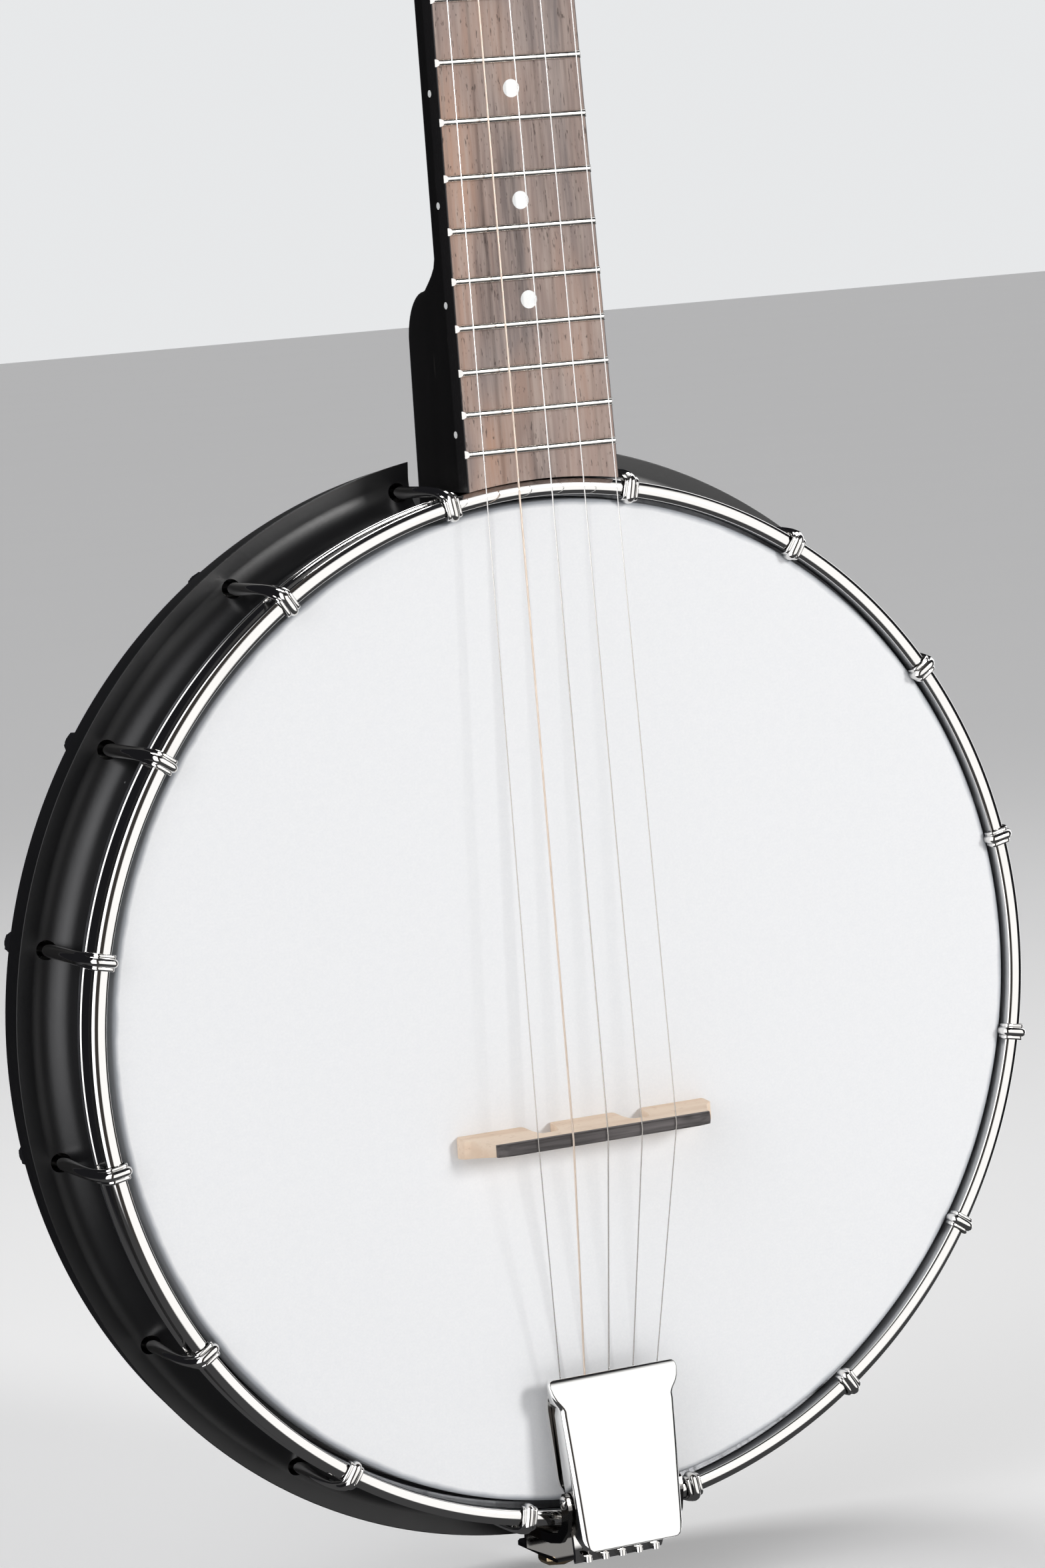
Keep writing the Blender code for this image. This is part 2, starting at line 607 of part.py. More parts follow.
def build_tailpiece():
    # Cover: a folded sheet, open underneath and at the lip
    stations = [(-103.1, 20.3, 0.0), (-106.5, 19.9, 1.0), (-109.5, 18.7, 3.0), (-112, 17.9, 5.2), (-136, 16.5, 5.6)]
    stations += [(-144, 16.1, 5.6), (-149.5, 15.8, 2.6), (-151.8, 15.0, 1.4)]
    loops = []
    for z_mm, half_mm, wall_mm in stations:
        z, half, sheet = z_mm * MM, half_mm * MM, TAIL_SHEET
        front = cover_front(z)
        foot = front - sheet - wall_mm * MM
        outer = [(-half, foot), (-half, front - 0.6 * MM), (-half + 0.8 * MM, front)]
        outer += [(half - 0.8 * MM, front), (half, front - 0.6 * MM), (half, foot)]
        inner = [(half - sheet, foot), (half - sheet, front - sheet - 0.05 * MM)]
        inner += [(-half + sheet, front - sheet - 0.05 * MM), (-half + sheet, foot)]
        loops.append([place(x, z, out) for x, out in outer + inner])
    cover = add_object("tailpiece_cover", loft(loops), "chrome", origin=place(0, TAIL_HINGE_Z, TAIL_HINGE_OUT))
    pin_ends = [place(x * MM, TAIL_HINGE_Z, TAIL_HINGE_OUT) for x in (-20, 20)]
    boolean(cover, add_cutter("hinge_bore", turned([(end, 1.25 * MM) for end in pin_ends])))
    pin_ends = [place(x * MM, TAIL_HINGE_Z, TAIL_HINGE_OUT) for x in (-18.6, 18.6)]
    add_object("tailpiece_hinge_pin", turned([(end, 0.95 * MM) for end in pin_ends], 8), "chrome")

    # Base: a plate under the strings, two ears for the pin, and five hooks past the tail
    path = [(-108, 4.2, 18.8), (-112, 4.2, 18.9), (-132.5, 4.9, 17.3), (-137, 5.0, 15.2), (-150, 5.0, 14.4)]
    path += [(-155.5, 4.6, 14.0), (-157.2, 2.0, 13.0)]
    base = sheet_along(path, 0.6)
    base_object = add_object("tailpiece_base", base, "chrome")
    extras = []
    for side in (-1, 1):
        x = side * 14.2 * MM
        ear = block((x - 0.6 * MM, -141 * MM, 4.9 * MM), (x + 0.6 * MM, -135 * MM, 11.2 * MM))
        extras.append(add_cutter(f"base_ear_{side + 1}", ear))
    for index in range(5):
        x = (index - 2) * 5.4 * MM
        hook = block((x - 1.2 * MM, -156.4 * MM, 4.0 * MM), (x + 1.2 * MM, -154.9 * MM, 8.2 * MM))
        extras.append(add_cutter(f"base_hook_{index + 1}", hook))
    for extra in extras:
        boolean(base_object, extra, "UNION")
    ear_bore = add_cutter("ear_bore", turned([(end, 1.25 * MM) for end in pin_ends]))
    boolean(base_object, ear_bore)

    # Bracket: a strap from the rod's end bolt, bent into a plate behind the hoop, with an arm up to each pin end
    strap = [(-146.6, -12, 20.7), (-154.3, -12, 20.7), (-159.0, -12, 11.0), (-160.2, -13.2, 10.5)]
    strap += [(-160.4, -22, 10.0), (-160.4, -42, 9.0)]
    bracket = add_object("tailpiece_bracket", sheet_along(strap, 0.6), "chrome")
    outer = [(-151.4, -12.2), (-151.4, -1), (-150.2, 5.6), (-146, 10.2), (-139.5, 11.6), (-136.2, 10.6)]
    inner = [(-136.0, 8.0), (-140, 7.2), (-144.8, 6.6), (-147.6, 3.4), (-148.6, -1), (-148.6, -12.2)]
    for side in (-1, 1):
        loops = []
        for x in (side * 17.2, side * 18.4):
            loops.append([place(x * MM, z * MM, out * MM) for z, out in outer + inner])
        boolean(bracket, add_cutter(f"bracket_arm_{side + 1}", loft(loops)), "UNION")
    boolean(bracket, ear_bore)
    bore = turned([(place(0, z * MM, ROD_OUT), 3.4 * MM) for z in (-150, -170)])
    boolean(bracket, add_cutter("bracket_bore", bore))


def sheet_along(path, half_thick):
    """A bent sheet through (z, out, half width) stations in millimetres."""
    loops = []
    for index, (z, out, half) in enumerate(path):
        before, after = path[max(index - 1, 0)], path[min(index + 1, len(path) - 1)]
        along = Vector((after[0] - before[0], after[1] - before[1])).normalized()
        normal = Vector((-along.y, along.x)) * half_thick
        near, far = (z + normal.x, out + normal.y), (z - normal.x, out - normal.y)
        corners = ((-half, near), (half, near), (half, far), (-half, far))
        loops.append([place(x * MM, edge[0] * MM, edge[1] * MM) for x, edge in corners])
    return loft(loops)


def build_rod():
    """The coordinator rod across the pot, the stud that draws the heel against the rim, and the end bolt."""
    half = 124 * MM
    add_object("coordinator_rod", turned([(place(0, z, ROD_OUT), ROD_RADIUS) for z in (-half, half)]), "steel")
    stud = [(124.4, 2.6), (128.0, 2.6), (128.1, 5.6), (132.4, 5.6), (132.5, 2.6), (168, 2.6)]
    add_object("neck_hanger_bolt", turned([(place(0, z * MM, ROD_OUT), r * MM) for z, r in stud]), "steel")
    bolt = [(-124.4, 2.6), (-161.3, 2.6), (-161.4, 5.0), (-165.8, 5.0), (-166.8, 3.4)]
    add_object("rod_end_bolt", turned([(place(0, z * MM, ROD_OUT), r * MM) for z, r in bolt], 6), "brass_bolt")


def wound_on_post(x, up, radius, side, number):
    """Turns of string round a headstock post, ending against its shoulder."""
    points = []
    turns, steps = 2, 10
    for step in range(turns * steps + 1):
        turn = 2 * pi * step / steps
        rise = 7.6 * MM - 1.3 * STRING_DIAMETERS[number - 1] * step / steps
        points.append(on_headstock(x - side * radius * cos(turn), up + radius * sin(turn), rise))
    return points


def string_route(number):
    """Points along one string, from its hook on the tailpiece to its post."""
    tail_x = (3 - number) * 5.4 * MM
    lip_x = (3 - number) * 7.75 * MM
    route = [place(tail_x, -154.3 * MM, 7.2 * MM), place(tail_x * 1.06, -144 * MM, 6.9 * MM)]
    route += [place(lip_x, -103.1 * MM, 6.4 * MM), string_point(number, BRIDGE_Z)]
    if number == 5:
        route.append(string_point(5, fret_z(5) + FIFTH_PIP_RISE + 1.8 * MM))
        radius = 4.05 * MM
        steps = 10
        for step in range(steps + 3):
            turn = 2 * pi * step / steps
            x = -18.8 * MM - 0.35 * MM * step / steps
            route.append(place(x, FIFTH_Z - radius * sin(turn + 0.35), FIFTH_OUT + radius * cos(turn + 0.35)))
        return route
    route.append(string_point(number, NUT_Z + 0.5 * MM))
    side = 1 if number <= 2 else -1
    up = TUNER_UPS[0] if number in (1, 4) else TUNER_UPS[1]
    x = HEADSTOCK_CENTRE + side * POST_SPREAD
    radius = POST_RADIUS + FIT + STRING_DIAMETERS[number - 1] / 2 + 0.15 * MM
    return route + wound_on_post(x, up, radius, side, number)


def build_string(number):
    curve = bpy.data.curves.new(f"string_{number}", "CURVE")
    curve.dimensions = "3D"
    curve.bevel_depth = STRING_DIAMETERS[number - 1] / 2
    curve.bevel_resolution = 1
    curve.use_fill_caps = True
    route = string_route(number)
    spline = curve.splines.new("POLY")
    spline.points.add(len(route) - 1)
    for point, spot in zip(spline.points, route):
        point.co = (*spot, 1)
    curve.materials.append(MATERIALS["bronze_wound" if number == 4 else "steel"])
    obj = bpy.data.objects.new(f"string_{number}", curve)
    bpy.context.scene.collection.objects.link(obj)


def clear_scene():
    for obj in list(bpy.data.objects):
        bpy.data.objects.remove(obj, do_unlink=True)


clear_scene()
MATERIALS = {
    "composite": material("composite", (0.022, 0.022, 0.025), 0.0, 0.42),
    "head_film": material("head_film", (0.86, 0.88, 0.90), 0.0, 0.55),
    "chrome": material("chrome", (0.82, 0.82, 0.82), 1.0, 0.06),
    "flesh_metal": material("flesh_metal", (0.42, 0.43, 0.45), 0.9, 0.45),
    "neck_wood": material("neck_wood", (0.012, 0.012, 0.013), 0.0, 0.38),
    "rosewood": material("rosewood", (0.16, 0.10, 0.08), 0.0, 0.55),
    "bone": material("bone", (0.86, 0.83, 0.74), 0.0, 0.4),
    "black_plastic": material("black_plastic", (0.015, 0.015, 0.016), 0.0, 0.3),
    "maple": material("maple", (0.80, 0.62, 0.46), 0.0, 0.5),
    "ebony": material("ebony", (0.03, 0.027, 0.026), 0.0, 0.45),
    "steel": material("steel", (0.62, 0.62, 0.63), 1.0, 0.25),
    "brass_bolt": material("brass_bolt", (0.72, 0.56, 0.36), 1.0, 0.28),
    "bronze_wound": material("bronze_wound", (0.72, 0.52, 0.32), 1.0, 0.3),
}

build_rim()
build_head()
build_hoops()
for place_in_row, bracket_angle in enumerate(bracket_angles(), start=1):
    build_bracket(f"bracket_hook_{place_in_row:02d}", bracket_angle)
build_neck()
build_fretboard()
build_nuts()
build_truss_rod_cover()
for tuner_number, tuner_side, tuner_row in ((1, 1, 0), (2, 1, 1), (3, -1, 1), (4, -1, 0)):
    build_tuner(tuner_number, tuner_side, TUNER_UPS[tuner_row])
build_fifth_tuner()
build_bridge()
build_tailpiece()
build_rod()
for string_number in range(1, 6):
    build_string(string_number)
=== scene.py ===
"""Looks for the five-string open-back banjo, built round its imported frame.

+Z runs up the neck, the head faces -Y and +X is the treble side. The origin is the centre of the head's playing
surface. Lengths are in metres; most shapes are written in millimetres and scaled by MM.
"""

from math import asin, atan2, copysign, cos, degrees, pi, radians, sin, sqrt, tan

import bmesh
import bpy
from mathutils import Matrix, Vector


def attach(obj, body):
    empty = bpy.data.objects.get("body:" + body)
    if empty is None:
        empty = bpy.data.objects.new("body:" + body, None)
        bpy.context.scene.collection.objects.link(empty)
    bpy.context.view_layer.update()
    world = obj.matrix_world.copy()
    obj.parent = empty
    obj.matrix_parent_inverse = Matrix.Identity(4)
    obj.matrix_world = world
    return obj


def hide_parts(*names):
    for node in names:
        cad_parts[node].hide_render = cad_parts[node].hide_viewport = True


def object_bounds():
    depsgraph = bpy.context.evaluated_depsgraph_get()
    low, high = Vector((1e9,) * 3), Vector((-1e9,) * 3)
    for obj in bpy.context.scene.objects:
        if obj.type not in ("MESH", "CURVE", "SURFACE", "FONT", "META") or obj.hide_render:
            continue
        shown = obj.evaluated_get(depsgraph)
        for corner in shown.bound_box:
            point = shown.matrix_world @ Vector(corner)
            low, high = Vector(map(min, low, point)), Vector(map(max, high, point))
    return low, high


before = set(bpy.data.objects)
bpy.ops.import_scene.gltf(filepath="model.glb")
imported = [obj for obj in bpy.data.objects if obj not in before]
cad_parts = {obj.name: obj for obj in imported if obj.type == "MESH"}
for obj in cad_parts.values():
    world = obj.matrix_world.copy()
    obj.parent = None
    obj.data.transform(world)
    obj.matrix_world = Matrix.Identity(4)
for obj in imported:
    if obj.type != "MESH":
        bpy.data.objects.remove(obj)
CAD_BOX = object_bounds()

MM = 0.001
INCH = 0.0254
BODY = "banjo"

SCALE_LENGTH = 25.5 * INCH
FRETS = 22
BRIDGE_Z = -35.3 * MM
NUT_Z = SCALE_LENGTH - 25.8 * MM
STRING_GAP_BRIDGE, STRING_GAP_NUT = 10.9 * MM, 8 * MM
STRING_DIAMETERS = (0.3 * MM, 0.35 * MM, 0.42 * MM, 0.6 * MM, 0.3 * MM)
STRING_OUT_BRIDGE, STRING_OUT_NUT = 15.74 * MM, -9.04 * MM

HEAD_RADIUS = 139.7
# how far across and up the film sits from the tension hoop's centre
HEAD_SHIFT = (0.9, 0.35)
BRACKET_ANGLES = [11.1 + 22.25 * step for step in range(4)]
BRACKET_ANGLES += [BRACKET_ANGLES[-1] + 22.9 * step for step in range(1, 5)]
BRACKET_ANGLES = [-angle for angle in BRACKET_ANGLES] + BRACKET_ANGLES[::-1]
# radii of the hooks' shanks and of their holes round the head's centre
SHANK_CIRCLE, HOLE_CIRCLE = 147.8, 147.9
ROD_OUT = -34

BOARD_HALF_HEEL = 23.6 * MM
BOARD_TREBLE_NUT, BOARD_BASS_NUT = 18.7 * MM, -11.3 * MM
BOARD_OUT_HEEL, NECK_LEAN, BOARD_THICK = 4.4 * MM, 0.032, 5.6 * MM
FIFTH_PIP_RISE = 2.8 * MM
FIFTH_Z, FIFTH_OUT = 482 * MM, -15 * MM

HEADSTOCK_TILT = radians(15)
HEADSTOCK_FOOT = (627.9 * MM, -13.5 * MM)
HEADSTOCK_CENTRE = 3.7
HEADSTOCK_THICK = 14
POST_SPREAD = 20
TUNER_UPS = (40, 95)

TAIL_HINGE_Z, TAIL_HINGE_OUT = -138, 9.2
HINGE_BORE = [(-20, 1.25), (20, 1.25)]
# half the thickness of the tailpiece's sheet metal
SHEET_HALF = 0.6

# sides of a turn round the head, and round a shaft
ROUND = 320
SHAFT = 32


# ---------------------------------------------------------------- places


def place(x, z, out):
    """A point x across, z up the neck, and out in front of the head."""
    return Vector((x, -out, z))


def mm(x, z, out):
    return place(x * MM, z * MM, out * MM)


def on_headstock(x, up, out):
    """Millimetres across, up from the headstock's foot, and out of its front face."""
    tilt_sin, tilt_cos = sin(HEADSTOCK_TILT), cos(HEADSTOCK_TILT)
    z = HEADSTOCK_FOOT[0] + (up * tilt_cos + out * tilt_sin) * MM
    return place(x * MM, z, HEADSTOCK_FOOT[1] + (-up * tilt_sin + out * tilt_cos) * MM)


def on_rod(z):
    """A point on the axis of the rod and bolts inside the pot."""
    return mm(0, z, ROD_OUT)


def on_hinge(x):
    """A point on the axis of the tailpiece's hinge."""
    return mm(x, TAIL_HINGE_Z, TAIL_HINGE_OUT)


def spoke(angle):
    """Directions outward and sideways, at an angle in degrees round the head from straight up."""
    turn = radians(angle)
    return Vector((sin(turn), 0, cos(turn))), Vector((cos(turn), 0, -sin(turn)))


def fret_z(number):
    return NUT_Z - SCALE_LENGTH * (1 - 2 ** (-number / 12))


def board_out(z):
    return BOARD_OUT_HEEL - NECK_LEAN * (z - fret_z(FRETS))


def treble_edge(z):
    heel = HEAD_RADIUS * MM
    return BOARD_HALF_HEEL + (BOARD_TREBLE_NUT - BOARD_HALF_HEEL) * (z - heel) / (NUT_Z - heel)


def bass_edge(z):
    full = -treble_edge(z)
    narrow = BOARD_BASS_NUT + (full + treble_edge(NUT_Z)) * 0.3
    share = min(max((z - fret_z(5) - 3 * MM) / (12 * MM), 0), 1)
    return full + (narrow - full) * share * share * (3 - 2 * share)


def string_point(number, z):
    share = (z - BRIDGE_Z) / (NUT_Z - BRIDGE_Z)
    out = STRING_OUT_BRIDGE + (STRING_OUT_NUT - STRING_OUT_BRIDGE) * share
    gap = STRING_GAP_BRIDGE + (STRING_GAP_NUT - STRING_GAP_BRIDGE) * share
    return place((3 - number) * gap, z, out)


# ---------------------------------------------------------------- materials


class Graph:
    """A small helper over one material's node tree."""

    def __init__(self, name):
        self.material = bpy.data.materials.new(name)
        self.material.use_nodes = True
        self.nodes, self.links = self.material.node_tree.nodes, self.material.node_tree.links
        self.shader = self.nodes["Principled BSDF"]
        self.coords = self.nodes.new("ShaderNodeTexCoord")

    def put(self, socket, value):
        if isinstance(value, bpy.types.NodeSocket):
            self.links.new(value, socket)
        elif isinstance(value, tuple) and socket.type == "RGBA":
            socket.default_value = (*value, 1)
        else:
            socket.default_value = value

    def node(self, kind, **inputs):
        """Adds a node, fills its named inputs, and gives its first output."""
        node = self.nodes.new(f"ShaderNode{kind}")
        for name, value in inputs.items():
            self.put(node.inputs[name], value)
        return node.outputs[0]

    def finish(self, **inputs):
        """Fills the shader's named inputs and gives the material."""
        for name, value in inputs.items():
            self.put(self.shader.inputs[name.replace("_", " ")], value)
        return self.material

    def stretched(self, x, y, z):
        return self.node("Mapping", Vector=self.coords.outputs["Object"], Scale=(x, y, z))

    def noise(self, scale, detail=3, rough=0.5, vector=None, distortion=0):
        vector = vector or self.coords.outputs["Object"]
        look = {"Scale": scale, "Detail": detail, "Roughness": rough, "Distortion": distortion}
        return self.node("TexNoise", Vector=vector, **look)

    def math(self, operation, a, b=0):
        node = self.nodes.new("ShaderNodeMath")
        node.operation = operation
        self.put(node.inputs[0], a)
        self.put(node.inputs[1], b)
        return node.outputs[0]

    def spread(self, value, low, high, to_low=0, to_high=1):
        node = self.nodes.new("ShaderNodeMapRange")
        for socket, given in zip(node.inputs[:5], (value, low, high, to_low, to_high)):
            self.put(socket, given)
        return node.outputs[0]

    def mix(self, share, a, b):
        node = self.nodes.new("ShaderNodeMix")
        node.data_type = "RGBA"
        self.put(node.inputs["Factor"], share)
        colours = [socket for socket in node.inputs if socket.type == "RGBA"]
        self.put(colours[0], a)
        self.put(colours[1], b)
        return next(socket for socket in node.outputs if socket.type == "RGBA")

    def over(self, base, value, low, high, colour, most=1):
        """Lays a colour over the base, by a share that grows to most as value goes from low to high."""
        return self.mix(self.spread(value, low, high, 0, most), base, colour)

    def split(self, source="Object"):
        node = self.nodes.new("ShaderNodeSeparateXYZ")
        self.links.new(self.coords.outputs[source], node.inputs[0])
        return node.outputs

    def bump(self, height, strength, distance):
        """Adds a bump on top of those already there."""
        normal = self.shader.inputs["Normal"]
        earlier = {"Normal": normal.links[0].from_socket} if normal.links else {}
        self.put(normal, self.node("Bump", Height=height, Strength=strength, Distance=distance, **earlier))


def make_metal(name, colour, rough_low, rough_high, smudge=45, scratch=0.06):
    """Plated or bare metal with finger smudges, a faint ripple and hairline scratches."""
    graph = Graph(name)
    smudges = graph.noise(smudge, 4, 0.6)
    fine = graph.noise(900, 2, 0.5, graph.stretched(1, 1, 0.08))
    rough = graph.spread(smudges, 0.38, 0.72, rough_low, rough_high)
    rough = graph.math("ADD", rough, graph.spread(fine, 0.55, 0.8, 0, rough_low * 0.5))
    dulled = graph.over(colour, smudges, 0.5, 0.8, tuple(c * 0.86 for c in colour), 0.35)
    graph.bump(fine, scratch, 0.00003)
    return graph.finish(Base_Color=dulled, Metallic=1, Roughness=rough)


def make_composite():
    """Moulded plastic with a faint orange peel and a little dust."""
    graph = Graph("black_composite")
    specks = graph.node("TexVoronoi", Vector=graph.coords.outputs["Object"], Scale=150)
    specks = graph.math("LESS_THAN", specks, 0.045)
    dust = graph.math("MULTIPLY", specks, graph.math("GREATER_THAN", graph.noise(35, 1), 0.6))
    cloud = graph.noise(22, 4, 0.6)
    base = graph.over((0.006, 0.006, 0.0068), cloud, 0.35, 0.7, (0.0095, 0.0094, 0.0102))
    graph.bump(graph.noise(700, 3, 0.55), 0.16, 0.00012)
    return graph.finish(
        Base_Color=graph.mix(graph.math("MULTIPLY", dust, 0.7), base, (0.24, 0.24, 0.24)),
        Roughness=graph.spread(graph.noise(60, 3), 0.3, 0.7, 0.31, 0.37),
        Specular_IOR_Level=0.5,
    )


def make_head():
    """Frosted film: a fine sprayed grain on the playing surface, and a grey collar that is partly bare film and
    partly painted shade of the gap under the tension hoop.
    """
    graph = Graph("frosted_head")
    x, _, z = graph.split()
    x = graph.math("SUBTRACT", x, HEAD_SHIFT[0] * MM)
    z = graph.math("SUBTRACT", z, HEAD_SHIFT[1] * MM)
    radius = graph.math("SQRT", graph.math("ADD", graph.math("MULTIPLY", x, x), graph.math("MULTIPLY", z, z)))
    wobble = graph.math("MULTIPLY", graph.math("SUBTRACT", graph.noise(120, 3), 0.5), 0.0012)
    grain = graph.noise(1500, 3, 0.65)
    mottle = graph.noise(420, 3, 0.6)
    white = graph.over((0.812, 0.822, 0.836), grain, 0.35, 0.68, (0.852, 0.86, 0.87))
    white = graph.over(white, mottle, 0.4, 0.7, (0.788, 0.802, 0.822), 0.35)
    graph.bump(grain, 0.1, 0.0001)
    return graph.finish(
        # the grey beyond the playing surface is partly bare film colour and partly painted shade of the gap under
        # the hoop
        Base_Color=graph.over(white, graph.math("ADD", radius, wobble), 0.1388, 0.14, (0.4, 0.42, 0.45)),
        Roughness=graph.spread(grain, 0.3, 0.7, 0.5, 0.68),
        Specular_IOR_Level=0.35,
    )


def make_neck_finish():
    """Black-stained open-pored wood under a thin satin coat."""
    graph = Graph("black_stained_neck")
    pores = graph.noise(260, 3, 0.6, graph.stretched(4.2, 4.2, 0.16))
    groups = graph.noise(38, 2, 0.5, graph.stretched(1, 1, 0.25))
    pore = graph.math("MULTIPLY", graph.spread(pores, 0.665, 0.71), graph.spread(groups, 0.5, 0.64))
    tone = graph.noise(30, 3, 0.5, graph.stretched(1.4, 1.4, 0.12))
    base = graph.over((0.0052, 0.005, 0.0052), tone, 0.3, 0.7, (0.0092, 0.0086, 0.0086))
    graph.bump(pores, 0.1, 0.00008)
    return graph.finish(
        Base_Color=graph.mix(graph.math("MULTIPLY", pore, 0.8), base, (0.085, 0.078, 0.072)),
        Roughness=graph.spread(tone, 0.3, 0.7, 0.3, 0.4),
        Specular_IOR_Level=0.32,
    )


def make_fingerboard():
    """Oiled dark fingerboard wood: broad brown and grey stripes, fine fibres and short open pores."""
    graph = Graph("fingerboard_wood")
    stripes = graph.noise(88, 3, 0.5, graph.stretched(1, 1, 0.045), 0.6)
    fibres = graph.noise(620, 4, 0.6, graph.stretched(1, 1, 0.04))
    patch = graph.noise(26, 2, 0.5, graph.stretched(1, 1, 0.5))
    warm = graph.noise(45, 2, 0.5, graph.stretched(1, 1, 0.3))
    warm = graph.math("ADD", warm, graph.spread(graph.split()[0], 0.008, -0.022, 0, 0.14))
    pore = graph.spread(graph.noise(1100, 2, 0.55, graph.stretched(2, 2, 0.3)), 0.635, 0.675)
    side = graph.math("ABSOLUTE", graph.split("Normal")[0])
    base = graph.over((0.135, 0.105, 0.098), stripes, 0.38, 0.62, (0.405, 0.28, 0.23))
    base = graph.over(base, patch, 0.42, 0.66, (0.29, 0.245, 0.233), 0.75)
    base = graph.over(base, warm, 0.56, 0.76, (0.52, 0.31, 0.215), 0.7)
    base = graph.over(base, fibres, 0.42, 0.66, (0.47, 0.38, 0.335), 0.62)
    base = graph.mix(graph.math("MULTIPLY", pore, 0.78), base, (0.075, 0.052, 0.045))
    graph.bump(graph.math("SUBTRACT", 1, pore), 0.35, 0.00015)
    graph.bump(fibres, 0.1, 0.00006)
    return graph.finish(
        Base_Color=graph.over(base, side, 0.25, 0.62, (0.01, 0.0095, 0.01)),
        Roughness=graph.spread(side, 0.25, 0.62, 0.58, 0.36),
        Specular_IOR_Level=0.3,
    )


def make_maple():
    graph = Graph("bridge_maple")
    rings = graph.noise(230, 3, 0.5, graph.stretched(0.1, 1, 1), 0.5)
    flecks = graph.noise(950, 2, 0.5, graph.stretched(0.35, 1, 1))
    base = graph.over((0.88, 0.715, 0.565), rings, 0.35, 0.65, (0.79, 0.605, 0.455))
    base = graph.over(base, graph.noise(70, 2, 0.5), 0.55, 0.75, (0.7, 0.5, 0.355), 0.5)
    base = graph.over(base, flecks, 0.62, 0.72, (0.55, 0.36, 0.24), 0.35)
    graph.bump(flecks, 0.12, 0.00006)
    return graph.finish(Base_Color=base, Roughness=0.55, Specular_IOR_Level=0.3)


def make_ebony():
    graph = Graph("bridge_ebony")
    grain = graph.noise(520, 3, 0.65, graph.stretched(0.05, 1, 1))
    blot = graph.noise(150, 2, 0.5, graph.stretched(0.4, 1, 1))
    base = graph.over((0.036, 0.031, 0.031), grain, 0.35, 0.7, (0.125, 0.112, 0.112))
    base = graph.over(base, blot, 0.66, 0.74, (0.014, 0.012, 0.012), 0.8)
    graph.bump(grain, 0.12, 0.00005)
    return graph.finish(Base_Color=base, Roughness=0.5, Specular_IOR_Level=0.35)


def make_plain(name, colour, roughness, second, scale, coat=0):
    """A moulded or polished surface with a little variation in colour and roughness."""
    graph = Graph(name)
    spots = graph.noise(scale, 3, 0.55)
    graph.bump(spots, 0.05, 0.00005)
    return graph.finish(
        Base_Color=graph.over(colour, spots, 0.35, 0.7, second),
        Roughness=graph.spread(spots, 0.3, 0.7, roughness * 0.85, roughness * 1.15),
        Coat_Weight=coat,
    )


def make_floor():
    """Pale paper, lit evenly out to the horizon by a little light of its own."""
    graph = Graph("studio_floor")
    return graph.finish(
        Base_Color=graph.mix(graph.noise(6, 3), (0.8, 0.8, 0.8), (0.78, 0.78, 0.78)),
        Roughness=0.9,
        Specular_IOR_Level=0.1,
        Emission_Color=(1, 1, 1),
        Emission_Strength=0.17,
    )


def make_string():
    """Plain steel wire, with a painted highlight over the fingerboard and painted shade towards the tailpiece."""
    graph = Graph("string_steel")
    height = graph.split()[2]
    # painted shade on the low part of the strings and a painted highlight over the fingerboard, set by height
    painted_dim_steel = graph.over((0.36, 0.345, 0.33), height, -0.045, -0.025, (0.56, 0.53, 0.49))
    return graph.finish(
        Base_Color=graph.over(painted_dim_steel, height, 0.095, 0.155, (0.93, 0.92, 0.9)),
        Metallic=1,
        Roughness=graph.spread(graph.noise(150, 2), 0.3, 0.7, 0.14, 0.2),
    )


def make_winding():
    """Round-wound bronze: fine turns across the string."""
    graph = Graph("wound_bronze")
    wave = graph.nodes.new("ShaderNodeTexWave")
    wave.bands_direction = "Z"
    wave.inputs["Scale"].default_value = 1100
    graph.links.new(graph.coords.outputs["Object"], wave.inputs["Vector"])
    colour = graph.mix(graph.noise(200, 2), (0.82, 0.7, 0.6), (0.7, 0.575, 0.48))
    graph.bump(wave.outputs["Fac"], 0.5, 0.00004)
    return graph.finish(Base_Color=colour, Metallic=0.9, Roughness=0.34)


# ---------------------------------------------------------------- shapes


def arc(centre, radii, first, last, steps):
    """Points on an arc or a stretch of an ellipse between two angles in degrees, both ends included."""
    turns = [radians(first + (last - first) * step / steps) for step in range(steps + 1)]
    return [(centre[0] + radii[0] * cos(turn), centre[1] + radii[1] * sin(turn)) for turn in turns]


def disc(radius):
    """A round outline about the head's centre."""
    return arc((0, 0), (radius, radius), 90, -270, ROUND)[:-1]


def squarish(value, exponent):
    """A sine or cosine bent so that the circle it draws becomes a superellipse."""
    return copysign(abs(value) ** (2 / exponent), value)


def neighbours(path, index):
    return path[max(index - 1, 0)], path[min(index + 1, len(path) - 1)]


def fillet(corners, steps=5):
    """Rounds each (a, b, radius) corner of a closed outline."""
    made = []
    for index, (a, b, radius) in enumerate(corners):
        here = Vector((a, b))
        if radius <= 0:
            made.append((a, b))
            continue
        before = Vector(corners[index - 1][:2]) - here
        after = Vector(corners[(index + 1) % len(corners)][:2]) - here
        half = before.angle(after) / 2
        reach = min(radius / tan(half), before.length * 0.48, after.length * 0.48)
        centre = here + (before.normalized() + after.normalized()).normalized() * reach / cos(half)
        first, last = (here + way.normalized() * reach - centre for way in (before, after))
        start = atan2(first.y, first.x)
        turn = atan2(first.x * last.y - first.y * last.x, first.dot(last))
        for step in range(steps + 1):
            angle = start + turn * step / steps
            made.append((centre.x + first.length * cos(angle), centre.y + first.length * sin(angle)))
    return made


